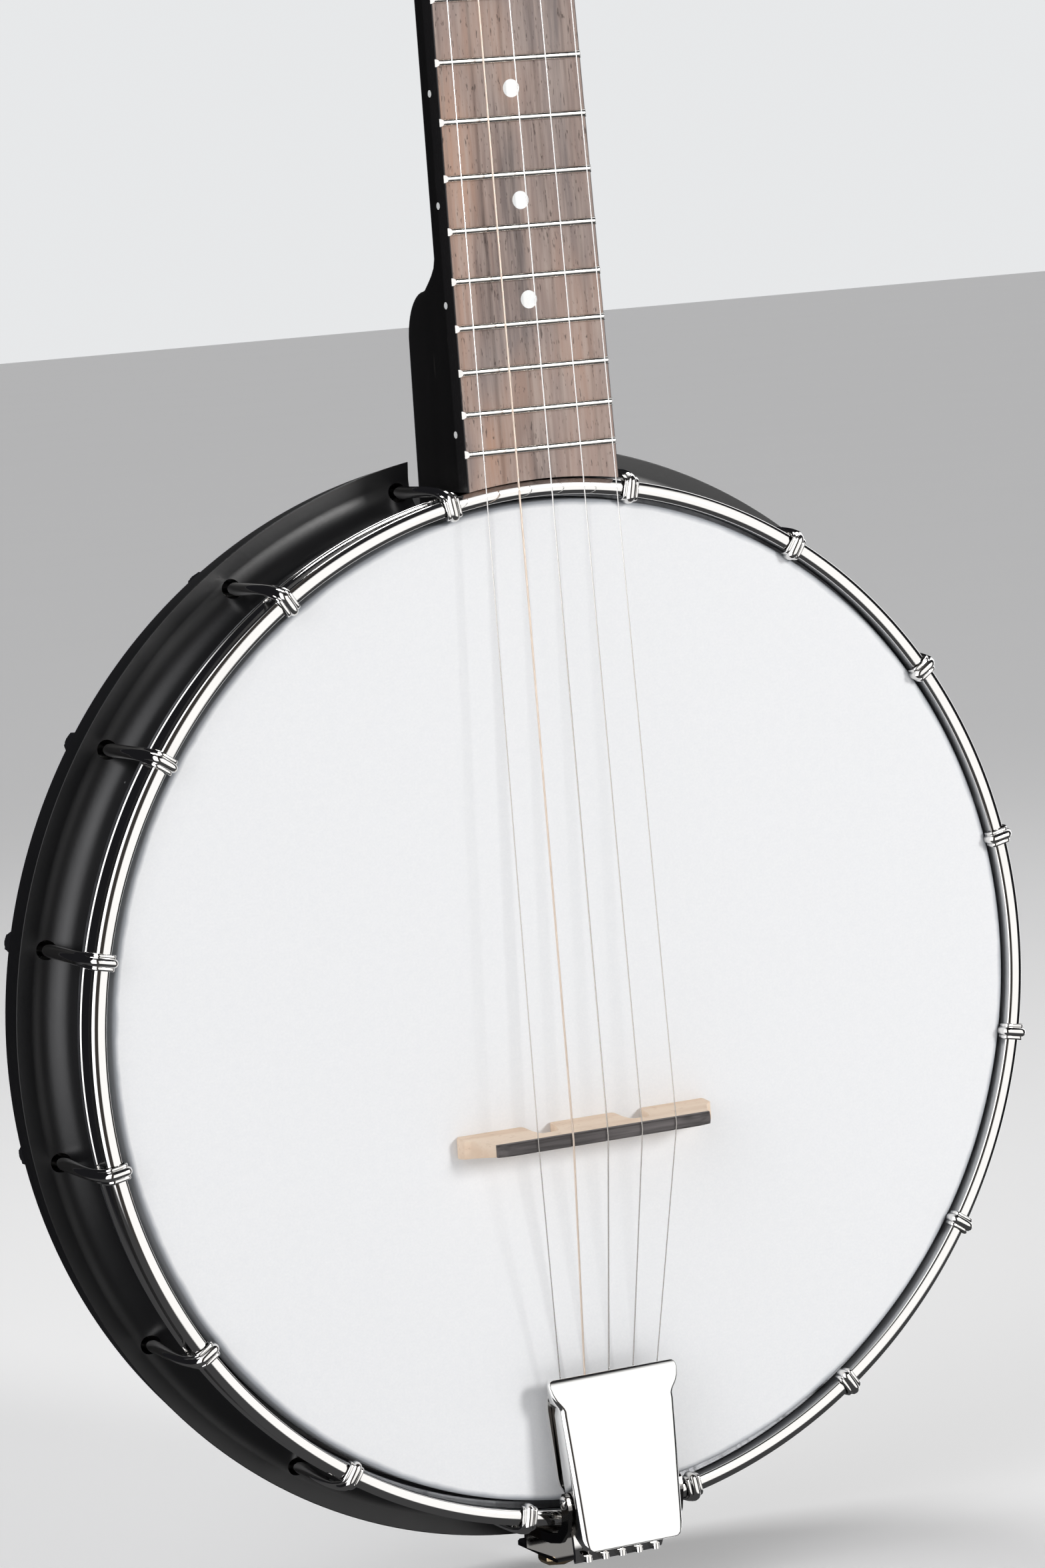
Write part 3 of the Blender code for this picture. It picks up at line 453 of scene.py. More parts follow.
def eased(stations, per=4):
    """Catmull-Rom points through a list of equal-length tuples."""
    made = []
    last = len(stations) - 1
    for index in range(last):
        four = [stations[min(max(index + step, 0), last)] for step in (-1, 0, 1, 2)]
        for step in range(per):
            t = step / per
            weights = (
                (-t + 2 * t * t - t**3) / 2,
                (2 - 5 * t * t + 3 * t**3) / 2,
                (t + 4 * t * t - 3 * t**3) / 2,
                (-t * t + t**3) / 2,
            )
            made.append(tuple(sum(w * v for w, v in zip(weights, column)) for column in zip(*four)))
    made.append(tuple(stations[-1]))
    return made


def ring(profile):
    """Turns a closed profile of (radius, out) in millimetres round the head's centre."""
    turns = [2 * pi * (step + 0.5) / ROUND for step in range(ROUND)]
    return loft([[mm(r * sin(turn), r * cos(turn), out) for r, out in profile] for turn in turns], closed=True)


def loft(loops, bm=None, closed=False):
    """Joins closed loops of equally many points, and closes the ends unless the loops form a ring."""
    bm = bm or bmesh.new()
    rows = [[bm.verts.new(point) for point in loop] for loop in loops]
    count = len(rows[0])
    pairs = list(zip(rows, rows[1:]))
    if closed:
        pairs.append((rows[-1], rows[0]))
    for here, after in pairs:
        for index in range(count):
            following = (index + 1) % count
            bm.faces.new((here[index], here[following], after[following], after[index]))
    if not closed:
        bm.faces.new(rows[0][::-1])
        bm.faces.new(rows[-1])
    return bm


def circle(centre, along, radius, sides):
    along = along.normalized()
    side = along.orthogonal().normalized()
    if abs(along.x) < 0.9:
        side = (Vector((1, 0, 0)) - along * along.x).normalized()
    up = along.cross(side)
    turns = [2 * pi * (step + 0.5) / sides for step in range(sides)]
    return [centre + (side * cos(turn) + up * sin(turn)) * radius for turn in turns]


def turned(spot, profile, sides=SHAFT, bm=None, hollow=False):
    """A turned solid: spot(distance) gives a point on the axis, profile is (distance, radius) in millimetres."""
    along = spot(1) - spot(0)
    return loft([circle(spot(distance), along, radius * MM, sides) for distance, radius in profile], bm, hollow)


def prism(outline, low, high, spot=mm):
    """Extrudes a closed outline of (a, b) between two distances c, each point being spot(a, b, c)."""
    return loft([[spot(a, b, c) for a, b in outline] for c in (low, high)])


def mesh_object(name, bm, finish, sharp):
    bmesh.ops.remove_doubles(bm, verts=bm.verts, dist=1e-7)
    bmesh.ops.delete(bm, geom=[edge for edge in bm.edges if edge.is_wire], context="EDGES")
    bmesh.ops.recalc_face_normals(bm, faces=bm.faces)
    mesh = bpy.data.meshes.new(name)
    bm.to_mesh(mesh)
    bm.free()
    if finish:
        mesh.materials.append(FINISHES[finish][1])
    mesh.shade_smooth()
    mesh.set_sharp_from_angle(angle=radians(sharp))
    obj = bpy.data.objects.new(name, mesh)
    bpy.context.scene.collection.objects.link(obj)
    return obj


def combine(obj, others, operation, sharp):
    """Cuts or joins other meshes with exact Booleans, applied at once; the others are removed."""
    for other in others:
        modifier = obj.modifiers.new("combine", "BOOLEAN")
        modifier.operation = operation
        modifier.object = other
        modifier.solver = "EXACT"
    bpy.context.view_layer.update()
    graph = bpy.context.evaluated_depsgraph_get()
    mesh = bpy.data.meshes.new_from_object(obj.evaluated_get(graph))
    obj.modifiers.clear()
    old = obj.data
    obj.data = mesh
    bpy.data.meshes.remove(old)
    for other in others:
        bpy.data.objects.remove(other, do_unlink=True)
    mesh.shade_smooth()
    mesh.set_sharp_from_angle(angle=radians(sharp))


def keep(obj, node=None, body=BODY):
    """Hands a finished piece to the frame, and hides the CAD node it stands for."""
    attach(obj, body)
    if node:
        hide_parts(node)


def piece(name, bm, finish, node=None, body=BODY, sharp=40, bevel=0, joins=(), cuts=()):
    """Makes a piece from a mesh, joins and cuts it with others, and keeps it in place of a CAD node."""
    obj = mesh_object(name, bm, finish, sharp)
    for others, operation in ((joins, "UNION"), (cuts, "DIFFERENCE")):
        if others:
            combine(obj, [mesh_object("other", other, None, 30) for other in others], operation, sharp)
    if bevel:
        modifier = obj.modifiers.new("bevel", "BEVEL")
        modifier.width, modifier.segments = bevel * MM, 3
        modifier.limit_method, modifier.angle_limit = "ANGLE", radians(35)
    keep(obj, node, body)


# ---------------------------------------------------------------- pot


def build_rim():
    corners = [(133, -3, 0.8), (135.4, -0.9, 1.2), (138.6, -0.9, 0.9), (139.25, -1.8, 0.5)]
    corners += [(139.25, -12.9, 0.3), (141, -12.9, 0.35)]
    corners += [(*point, 0) for point in arc((151, -20), (10, 10), 180, 270, 22)]
    corners += [(155.5, -29.5, 0.22), (153.3, -43, 0.7), (151.9, -43, 0.5), (151.9, -36, 0.8)]
    corners += [(143.6, -36, 0.8), (141.5, -40, 1.5), (141.5, -64, 1.2), (133, -64, 1.2)]
    holes = bmesh.new()
    for angle in BRACKET_ANGLES:
        centre = spoke(angle)[0] * HOLE_CIRCLE
        turned(lambda out: mm(centre.x, centre.z, out), [(-19, 2.75), (-37.5, 2.75)], 20, holes)
    for near, far in ((125, 150), (-125, -160)):
        turned(on_rod, [(near, 3.4), (far, 3.4)], 20, holes)
    # the neck's heel stands in a gap in the flange
    inside, half_gap = 141.7, 24.6
    half_turn = degrees(asin(half_gap / inside))
    outline = arc((0, 0), (inside, inside), 90 - half_turn, 90 + half_turn, 16)
    outline += [(-half_gap, 170), (half_gap, 170)]
    cuts = [holes, prism(outline, -12.4, -44)]
    piece("rim", ring(fillet(corners)), "composite", "pot_rim", sharp=38, cuts=cuts)


def build_head():
    """The frosted film and its collar, which sit a little off the tension hoop's centre."""
    profile = [(radius, 0) for radius in (0, 30, 60, 90, 115, 130, 136.5)] + [(138.8, -0.02)]
    profile += arc((139.3, -1.28), (1.35, 1.25), 78.75, 0, 7)
    profile += [(140.8, -2.6), (141, -6.9), (140.7, -6.9), (140.45, -2.6)]
    profile += arc((139.3, -1.32), (1, 0.9), 0, 78.75, 7)
    profile += [(138.8, -0.42), (130, -0.4), (60, -0.4), (0, -0.4)]
    film = ring(profile)
    bmesh.ops.translate(film, verts=film.verts, vec=mm(*HEAD_SHIFT, 0))
    piece("head_film", film, "head", "head", sharp=60)


def build_hoops():
    """The tension hoop has a flared skirt, a domed top with a tight outer corner, and a rounded inner edge."""
    profile = [(142.3, -6.7), (142.6, -7), (146.3, -7)]
    profile += arc((146.25, -6.42), (0.55, 0.55), -75, 55, 8)
    profile += [(146.3, -5.6), (146.2, -5), (146.2, -3), (146.2, -0.4), (146.3, 0.3)]
    profile += arc((145.98, 1.4), (0.9, 0.9), -45, 55, 8)
    profile += arc((144.4, -0.85), (3.65, 3.65), 57, 117, 17)
    profile += arc((142.9, 1.97), (0.45, 0.45), 122, 180, 5) + [(142.3, 1.2)]
    piece("tension_hoop_ring", ring(profile), "chrome", "tension_hoop", sharp=45)
    flesh = fillet([(141.3, -7.15, 0.4), (145.7, -7.15, 0.9), (145.8, -10.9, 0.9), (141.3, -10.9, 0.4)], 6)
    piece("flesh_hoop_ring", ring(flesh), "flesh", "flesh_hoop")


HOOK_PATH = [
    # radius, out, half width, half thickness, 0 for a round shank to 1 for the ribbed claw
    (141.4, 0.35, 2, 0.42, 1),
    (141.4, 1.9, 2.2, 0.5, 1),
    (141.8, 3.05, 2.3, 0.55, 1),
    (142.9, 3.45, 2.25, 0.5, 1),
    (145.7, 3.45, 2.25, 0.5, 1),
    (147, 3.05, 2.3, 0.58, 1),
    (147.95, 1.6, 2.3, 0.62, 0.95),
    (148.3, -0.4, 2.2, 0.8, 0.62),
    (148.6, -3, 2.05, 1.05, 0.28),
    (148.7, -8, 1.95, 1.3, 0.14),
    (148.5, -15, 1.9, 1.5, 0.05),
    (148.2, -21, 1.9, 1.7, 0),
    (147.9, -27, 1.9, 1.9, 0),
    (147.8, -36.2, 1.95, 1.95, 0),
]
# across as a share of the half width, height in half thicknesses, and the matching angle on a round shank
CLAW_SECTION = [(-1, -0.8, 205), (-1, 0.1, 178), (-0.92, 0.42, 164), (-0.68, 0.5, 150), (-0.58, 0.25, 139)]
CLAW_SECTION += [(-0.5, 0.9, 125), (-0.3, 1.75, 108), (0, 2.05, 90)]
CLAW_SECTION += [(-across, tall, 180 - turn) for across, tall, turn in CLAW_SECTION[-2::-1]]
CLAW_SECTION += [(0.5, -0.95, -58), (0, -0.95, -90), (-0.5, -0.95, -122)]


def hook_mesh(angle):
    outward, sideways = spoke(angle)
    forward = Vector((0, -1, 0))
    stations = eased(HOOK_PATH, 4)
    loops = []
    for index, (radius, out, wide, thick, claw) in enumerate(stations):
        before, after = neighbours(stations, index)
        along = (outward * (after[0] - before[0]) + forward * (after[1] - before[1])).normalized()
        normal = sideways.cross(along)
        centre = outward * radius + forward * out
        claw = min(max(claw, 0), 1)
        loop = []
        for across, tall, turn in CLAW_SECTION:
            a = across * claw + cos(radians(turn)) * (1 - claw)
            t = tall * claw + sin(radians(turn)) * (1 - claw)
            loop.append((centre + sideways * a * wide + normal * t * thick) * MM)
        loops.append(loop)
    return loft(loops)


def nut_mesh(angle):
    """A six-sided nut with chamfered ends over a thin washer."""
    outward, sideways = spoke(angle)
    corner, sixth = 4, pi / 3
    loops = []
    for out, size in ((-37.1, 0.88), (-37.8, 1), (-50.4, 1), (-51.3, 0.86), (-51.5, 0.55), (-50.6, 0.46)):
        loop = []
        for step in range(24):
            turn = 2 * pi * step / 24
            flat = corner * cos(sixth / 2) / cos(turn % sixth - sixth / 2)
            radius = min(flat, corner * size)
            spot = outward * (SHANK_CIRCLE + radius * sin(turn)) + sideways * radius * cos(turn)
            loop.append(spot * MM + mm(0, 0, out))
        loops.append(loop)
    bm = loft(loops)
    washer = [(-36.3, 3.2), (-36.45, 3.5), (-36.95, 3.5), (-37.05, 3.2)]
    turned(lambda out: outward * SHANK_CIRCLE * MM + mm(0, 0, out), washer, 24, bm)
    return bm


def build_brackets():
    for number, angle in enumerate(BRACKET_ANGLES, start=1):
        hook = f"hook_{number:02d}"
        piece(hook, hook_mesh(angle), "chrome", f"bracket_{hook}", sharp=50)
        piece(f"hook_nut_{number:02d}", nut_mesh(angle), "chrome", sharp=25)


def build_rod():
    rod = [(-124, 3.5), (-123.6, 3.95), (-104, 3.95), (104, 3.95), (123.6, 3.95), (124, 3.5)]
    piece("rod", turned(on_rod, rod), "steel", "coordinator_rod", sharp=35)
    collar = [(126.2, 4.2), (126.5, 6.6), (127.2, 7.2), (131.2, 7.2), (132.2, 6.6), (132.4, 4.2)]
    for name, sign in (("rod_collar_top", 1), ("rod_collar_bottom", -1)):
        piece(name, turned(lambda z: on_rod(sign * z), collar, 6), "steel", bevel=0.35, sharp=25)
    stud = [(124.4, 2.2), (124.8, 2.6), (167.6, 2.6), (168, 2.2)]
    piece("hanger_stud", turned(on_rod, stud), "steel", "neck_hanger_bolt")
    bolt = [(-124.4, 2.2), (-124.8, 2.6), (-161.3, 2.6)]
    piece("end_bolt_shank", turned(on_rod, bolt), "brass", "rod_end_bolt")
    head = [(-161.4, 5.2), (-161.9, 5.5), (-165.3, 5.5), (-166.4, 4.6), (-166.6, 3), (-165.9, 2.2)]
    piece("end_bolt_head", turned(on_rod, head, 6), "brass", bevel=0.3, sharp=25)


# ---------------------------------------------------------------- neck


def neck_section(z, points=25):
    """A D shape under the fretboard, which deepens to a tapered box at the heel."""
    front = board_out(z) - BOARD_THICK - 0.1 * MM
    left, right = bass_edge(z) + 0.05 * MM, treble_edge(z) - 0.05 * MM
    centre, half = (left + right) / 2, (right - left) / 2
    foot, tall, heel = 186 * MM, 14.5 * MM, -41.4 * MM
    back = front - 15.5 * MM - 1.5 * MM * (NUT_Z - z) / NUT_Z
    box = 0
    if z <= foot:
        back, box = heel, 1
    elif z <= foot + tall:
        share = (z - foot) / tall
        back = heel + tall * (1 - sqrt(max(1 - share * share, 0)))
        box = 1 - 0.25 * share
    elif z <= foot + tall + 9 * MM:
        share = (z - foot - tall) / (9 * MM)
        back = heel + tall + (back - heel - tall) * (1 - (1 - share) ** 2)
        box = 0.75 * (1 - share) ** 2
    exponent, taper, side = 2.2 + 3.8 * box, 0.16 * box, 1.5 * MM
    loop = [place(left, z, front), place(right, z, front)]
    for step in range(points):
        turn = pi * step / (points - 1)
        x, down = squarish(cos(turn), exponent), squarish(sin(turn), exponent)
        out = front - side + (back - front + side) * down
        loop.append(place(centre + half * x * (1 - taper * down), z, out))
    return loop


HEADSTOCK_HALF = [(14.9, 0), (15, 4), (15.4, 8), (17.2, 12), (20.2, 16), (23.8, 20.5), (26.8, 25.5), (28.8, 31)]
HEADSTOCK_HALF += [(30, 38), (30.7, 48), (31, 60), (31.3, 80), (31.5, 108), (31.2, 120), (29.8, 130)]
HEADSTOCK_HALF += [(27.6, 138), (24, 144.5), (19, 149), (13, 151.8), (6.5, 153.1)]


def build_neck():
    heights = [138, 150, 162, 174, 182, 184, 186, 188, 190, 192, 193.5, 195, 196.2, 197.2, 198.2, 199, 199.7]
    heights += [200.2, 200.45, 200.8, 201.5, 202.4, 203.5, 205, 207, 209.5, 214, 225, 240, 262, 300, 340, 380]
    heights += [420, 445, 455, 460, 462, 463.5, 465, 466.5, 468, 469.5, 471, 472.5, 474, 476, 480, 500, 540]
    heights += [575, 600, 618, 628, 630, 633, 636]
    loops = []
    for height in heights:
        sink = max(height - 628, 0) * 0.5 * MM
        loops.append([point + Vector((0, sink, 0)) for point in neck_section(height * MM)])
    neck = loft(loops)
    outline = HEADSTOCK_HALF + [(0, 153.5)] + [(-x, up) for x, up in HEADSTOCK_HALF[::-1]]
    edge, back = 1, -HEADSTOCK_THICK
    loops = []
    for out, inset in ((back, edge), (back + 0.3, 0.3), (back + edge, 0), (-edge, 0), (-0.3, 0.3), (0, edge)):
        loop = []
        for x, up in outline:
            away = Vector((x, (up - 76) * 0.45)).normalized() * inset
            loop.append(on_headstock(HEADSTOCK_CENTRE + x - away.x, up - (away.y if up > 1 else 0), out))
        loops.append(loop)
    cuts = bmesh.new()
    for side in (-1, 1):
        for up in TUNER_UPS:
            x = HEADSTOCK_CENTRE + side * POST_SPREAD
            turned(lambda out: on_headstock(x, up, out), [(3, 4.4), (-HEADSTOCK_THICK - 3, 4.4)], 24, cuts)
    turned(lambda x: mm(x, FIFTH_Z / MM, FIFTH_OUT / MM), [(-30, 2.8), (-4, 2.8)], 24, cuts)
    turned(on_rod, [(130, 3.4), (172, 3.4)], 24, cuts)
    # the heel's front end is hollowed to sit round the tension hoop, and below it round the pot
    cuts = [cuts] + [prism(disc(radius), low, high) for radius, low, high in ((147.4, 10, -13.2), (142, -10.9, -70))]
    piece("neck_body", neck, "neck", "neck", sharp=32, joins=[loft(loops)], cuts=cuts)


def build_fretboard():
    rows = [138, 142, 146, 150] + list(range(160, 456, 10)) + [459, 461, 462.5, 464, 465.5, 467, 468.5, 470]
    rows += [471.5, 473, 474.5, 476] + list(range(486, 616, 10)) + [NUT_Z / MM - 0.1]
    loops = []
    soft = 0.45 * MM
    for row in rows:
        z = row * MM
        left, right, out = bass_edge(z), treble_edge(z), board_out(z)
        section = [(left, BOARD_THICK), (right, BOARD_THICK), (right, soft), (right - soft * 0.3, soft * 0.3)]
        section += [(right - soft, 0), (left + soft, 0), (left + soft * 0.3, soft * 0.3), (left, soft)]
        loops.append([place(x, z, out - deep) for x, deep in section])
    cuts = [prism(disc(147.45), 12, -9)]
    piece("fingerboard", loft(loops), "fingerboard", "fretboard", sharp=50, cuts=cuts)

    bm = bmesh.new()
    crown = [(-1.05, -0.3), (-1.05, 0.18), (-0.92, 0.52), (-0.66, 0.8), (-0.34, 0.96), (0, 1)]
    crown += [(-along, tall) for along, tall in crown[-2::-1]]
    for number in range(1, FRETS + 1):
        z = fret_z(number)
        loops = []
        for edge, inward in ((bass_edge(z), 1), (treble_edge(z), -1)):
            ends = [(edge + inward * (-0.12 + max(tall, 0) * 0.85) * MM, along, tall) for along, tall in crown]
            loops.append([place(x, z + along * MM, board_out(z) + tall * MM) for x, along, tall in ends])
        loft(loops, bm)
    piece("frets", bm, "fret", sharp=32)

    dots, sides = bmesh.new(), bmesh.new()
    for number in (3, 5, 7, 10, 12, 15, 17, 19, 22):
        z = (fret_z(number) + fret_z(number - 1)) / 2
        edge, out = bass_edge(z), board_out(z)
        turned(lambda x: place(edge + x * MM, z, out - 5.2 * MM), [(0.5, 1), (-0.03, 1)], 20, sides)
        if number == 22:
            continue
        centre = (edge + treble_edge(z)) / 2 if number > 5 else 0
        for offset in (-7.5 * MM, 7.5 * MM) if number == 12 else (0,):
            spot = lambda rise: place(centre + offset, z + NECK_LEAN * rise * MM, out + rise * MM)
            turned(spot, [(-0.6, 2.5), (0.04, 2.5)], 28, dots)
    piece("inlay_dots", dots, "pearl")
    piece("side_dots", sides, "pearl")


def slot_edges(centres, top, foot):
    """The four edges of each string slot's sloping sides, from the bass side."""
    return [centre + step for centre in sorted(centres) for step in (-top, -foot, foot, top)]


def build_nuts():
    out = board_out(NUT_Z)
    back, front = out - BOARD_THICK, STRING_OUT_NUT
    edges = slot_edges([(3 - number) * STRING_GAP_NUT for number in (1, 2, 3, 4)], 0.36 * MM, 0.22 * MM)
    edges = [bass_edge(NUT_Z) + 0.1 * MM] + edges + [treble_edge(NUT_Z) - 0.1 * MM]
    loops = []
    for index, x in enumerate(edges):
        deep = index % 4 in (2, 3) and index < len(edges) - 1
        top = front + (-0.35 if deep else 0.35) * MM
        corners = [(0, back), (0, top - 0.2 * MM), (0.3, top), (3.4, top - 0.55 * MM), (5, top - 1.6 * MM)]
        loops.append([place(x, NUT_Z + z * MM, edge) for z, edge in corners + [(5, back)]])
    piece("nut_bone", loft(loops), "bone", "string_nut", sharp=30)
    z = fret_z(5) + FIFTH_PIP_RISE
    x, base = string_point(5, z).x, board_out(z)
    height = (-string_point(5, z).y - base) / MM
    pip = [(0.05, 1.2), (height - 0.9, 1.15), (height - 0.55, 0.85), (height - 0.2, 0.8), (height + 0.15, 1.05)]
    pip = turned(lambda rise: place(x, z, base + rise * MM), pip + [(height + 0.5, 0.8)], 20)
    piece("fifth_pip", pip, "bone", "fifth_string_nut")


def headstock_stack(x, up, outline, levels, side=1):
    """Lofts (out, size) copies of an outline about a point on the headstock."""
    loops = [[on_headstock(x + side * a * size, up + b * size, out) for a, b in outline] for out, size in levels]
    return loft(loops)


def build_truss_cover():
    corners = [(-6, -11, 1), (6, -11, 1), (7.5, -6, 2), (5.6, 6, 3), (0, 13, 1.5), (-5.6, 6, 3), (-7.5, -6, 2)]
    cover = headstock_stack(HEADSTOCK_CENTRE, 18, fillet(corners, 4), ((0.1, 1), (1.2, 1), (1.6, 0.93)))
    piece("rod_cover", cover, "gloss", "truss_rod_cover", sharp=30)
    screws = bmesh.new()
    for x, up in ((0, 26.5), (-3.6, 10), (3.6, 10)):
        profile = [(1.4, 1.5), (1.75, 1.35), (2.05, 0.7), (2.1, 0.05)]
        turned(lambda out: on_headstock(HEADSTOCK_CENTRE + x, up, out), profile, 16, screws)
    piece("rod_cover_screws", screws, "chrome")


BUTTON = [
    # along, half height, half thickness, squareness
    (0, 1.9, 1.9, 2), (3.4, 1.9, 1.9, 2), (3.7, 2.9, 2.5, 2), (4.6, 3.2, 2.7, 2), (5.6, 3, 2.3, 2),
    (6.6, 4.2, 2.4, 2.2), (8.4, 6.3, 2.75, 2.4), (10.8, 7.7, 3.05, 2.5), (13.5, 8.15, 3.2, 2.5),
    (16.2, 7.7, 3.1, 2.5), (18.4, 6.3, 2.8, 2.4), (19.8, 4.2, 2.2, 2.2), (20.4, 1.6, 1.2, 2),
]


def build_button(name, start, across, node):
    loops = []
    for along, tall, thick, square in eased(BUTTON, 3):
        turns = [2 * pi * (step + 0.5) / 28 for step in range(28)]
        rim = [(squarish(cos(turn), square) * thick, squarish(sin(turn), square) * tall) for turn in turns]
        loops.append([start + Vector((across * along, y, z)) * MM for y, z in rim])
    piece(name, loft(loops), "chrome", node, f"{node}_body", 50)


def build_tuner(number, side, up):
    """A geared tuner: its case, ear, washer and bush ride on the banjo, its post and button turn."""
    name = f"tuner_{number}"
    x = HEADSTOCK_CENTRE + side * POST_SPREAD
    behind = -HEADSTOCK_THICK - 0.3
    spot = lambda out: on_headstock(x, up, out)
    half = [(-7, -8.5, 2.6), (7.2, -8.5, 2.6), (9, -5.5, 1.6)]
    outline = fillet(half + [(a, -b, soft) for a, b, soft in half[::-1]], 6)
    levels = [(behind, 0.97), (behind - 0.5, 1), (behind - 8.6, 1), (behind - 10.2, 0.95), (behind - 11, 0.84)]
    case = headstock_stack(x, up, outline, levels, side)
    piece(f"{name}_case", case, "chrome", f"{name}_housing", sharp=30)
    cap = [(behind - 10.9, 3.1), (behind - 11, 2.8), (behind - 10.7, 0.4)]
    piece(f"{name}_case_screw", turned(spot, cap, 24), "steel", sharp=30)
    ear = fillet([(-3.4, -12.6, 3.3), (3.4, -12.6, 3.3), (3.4, -7, 0.5), (-3.4, -7, 0.5)], 6)
    ear = headstock_stack(x, up, ear, ((behind, 1), (behind - 1.5, 1)), side)
    piece(f"{name}_ear", ear, "chrome", bevel=0.3)
    washer = [(0.15, 3.5), (0.15, 6.9), (0.5, 7.1), (0.8, 6.9), (0.85, 3.5)]
    piece(f"{name}_washer", turned(spot, washer, hollow=True), "chrome", sharp=30)
    nut = [(0.9, 3.5), (0.9, 5.6), (1.2, 5.8), (2.5, 5.8), (3, 5.2), (3.2, 3.9), (3.2, 3.5)]
    piece(f"{name}_bush", turned(spot, nut, 6, hollow=True), "chrome", sharp=25)
    post = [(behind + 0.3, 2.8), (3.5, 2.95), (5.4, 2.95), (6.2, 2.55), (8.4, 2.45), (9.3, 2.95), (11.9, 2.95)]
    post = turned(spot, post + [(12.4, 2.4)])
    across = Vector((4 * MM, 0, 0))
    hole = loft([circle(spot(7.4) + across * sign, across, 0.6 * MM, 12) for sign in (-1, 1)])
    piece(f"{name}_string_post", post, "chrome", f"{name}_post", f"{name}_post_body", 30, cuts=[hole])
    start = on_headstock(x + side * 9.3, up, -20)
    build_button(f"{name}_knob", start, side, f"{name}_button")
    collar = [(8.6, 2.9), (9.05, 2.9), (9.15, 2.2)]
    collar = turned(lambda along: on_headstock(x + side * along, up, -20), collar, 20)
    piece(f"{name}_collar", collar, "chrome")


def build_fifth_tuner():
    """The fifth string's tuner on the neck's bass side, with a drum for the string."""
    spot = lambda x: mm(-x, FIFTH_Z / MM, FIFTH_OUT / MM)
    body = [(5, 2.3), (14.6, 2.3), (14.8, 3.3), (15.4, 3.5), (15.6, 3.3), (15.7, 1.5), (22.9, 1.5), (23, 4.6)]
    body += [(23.3, 5.3), (24.6, 6), (26, 6.25), (29, 6.1), (32.6, 5.4), (33.9, 4.6), (34.4, 3.2)]
    piece("fifth_case", turned(spot, body), "chrome", "fifth_tuner_body", sharp=30)
    drum = [(16, 1.9), (16, 3.5), (16.9, 3.55), (17.6, 3.05), (18.3, 2.9), (20.8, 2.9), (21.5, 3.05)]
    drum = turned(spot, drum + [(22.2, 3.55), (22.6, 3.5), (22.6, 1.9)], hollow=True)
    piece("fifth_drum", drum, "chrome", "fifth_tuner_post", "fifth_tuner_post_body", 30)
    build_button("fifth_knob", spot(34.8), -1, "fifth_tuner_button")


# ---------------------------------------------------------------- strings, bridge and tailpiece


def build_bridge():
    """Three feet with scooped ends, two shallow arches, and a dark cap with a slot for each string."""
    side = [(39.4, 0.05, 0.7), (39.4, 4.2, 1.2), (37.4, 5.6, 3), (35.2, 9.6, 3), (33.6, 12.9, 0)]
    inner = [(18.6, 0.05, 1.2), (18.3, 5.6, 2), (17.2, 8.9, 1.6), (11.6, 8.9, 1.6), (10.5, 5.6, 2)]
    inner.append((10.2, 0.05, 1.2))
    outline = [(-x, out, soft) for x, out, soft in side[:1] + inner] + inner[::-1] + side
    outline = fillet(outline + [(-x, out, soft) for x, out, soft in side[:0:-1]], 6)

    def half_thick(out):
        return (6.2 - 3.2 * out / 15.2) / 2

    def section(x, out, across):
        return mm(x, BRIDGE_Z / MM + across, out)

    loops = []
    for side, inset in ((-1, 0.35), (-0.9, 0), (0.9, 0), (1, 0.35)):
        loop = []
        for x, out in outline:
            pull = inset if 0.3 < out < 12.7 or abs(x) > 39 else 0
            away = Vector((x, out - 6.5)).normalized() * pull * (abs(x) > 33.8)
            loop.append(section(x - away.x, out - away.y, side * half_thick(out)))
        loops.append(loop)
    piece("bridge_wood", loft(loops), "maple", "bridge", sharp=30)

    low, high = 13, 15.2
    edges = slot_edges([(3 - number) * STRING_GAP_BRIDGE / MM for number in range(1, 6)], 0.34, 0.2)
    edges = [-33.6, -32.2, -29.6] + edges + [29.6, 32.2, 33.6]
    loops = []
    for index, x in enumerate(edges):
        deep = 3 <= index < 23 and index % 4 in (0, 1)
        slope = {33.6: 1.9, 32.2: 1}.get(abs(x), 0)
        thick, narrow = half_thick(low), half_thick(high) - 0.15 - slope * 0.35
        top = high - (0.35 if deep else 0) - slope * 0.55
        half = [(thick, low), (thick, top - 0.35), (narrow, top)]
        half = [(-thick, low)] + half + [(-across, out) for across, out in half[:0:-1]]
        loops.append([section(x, out, across) for across, out in half])
    piece("bridge_top", loft(loops), "ebony", "bridge_cap", sharp=20)


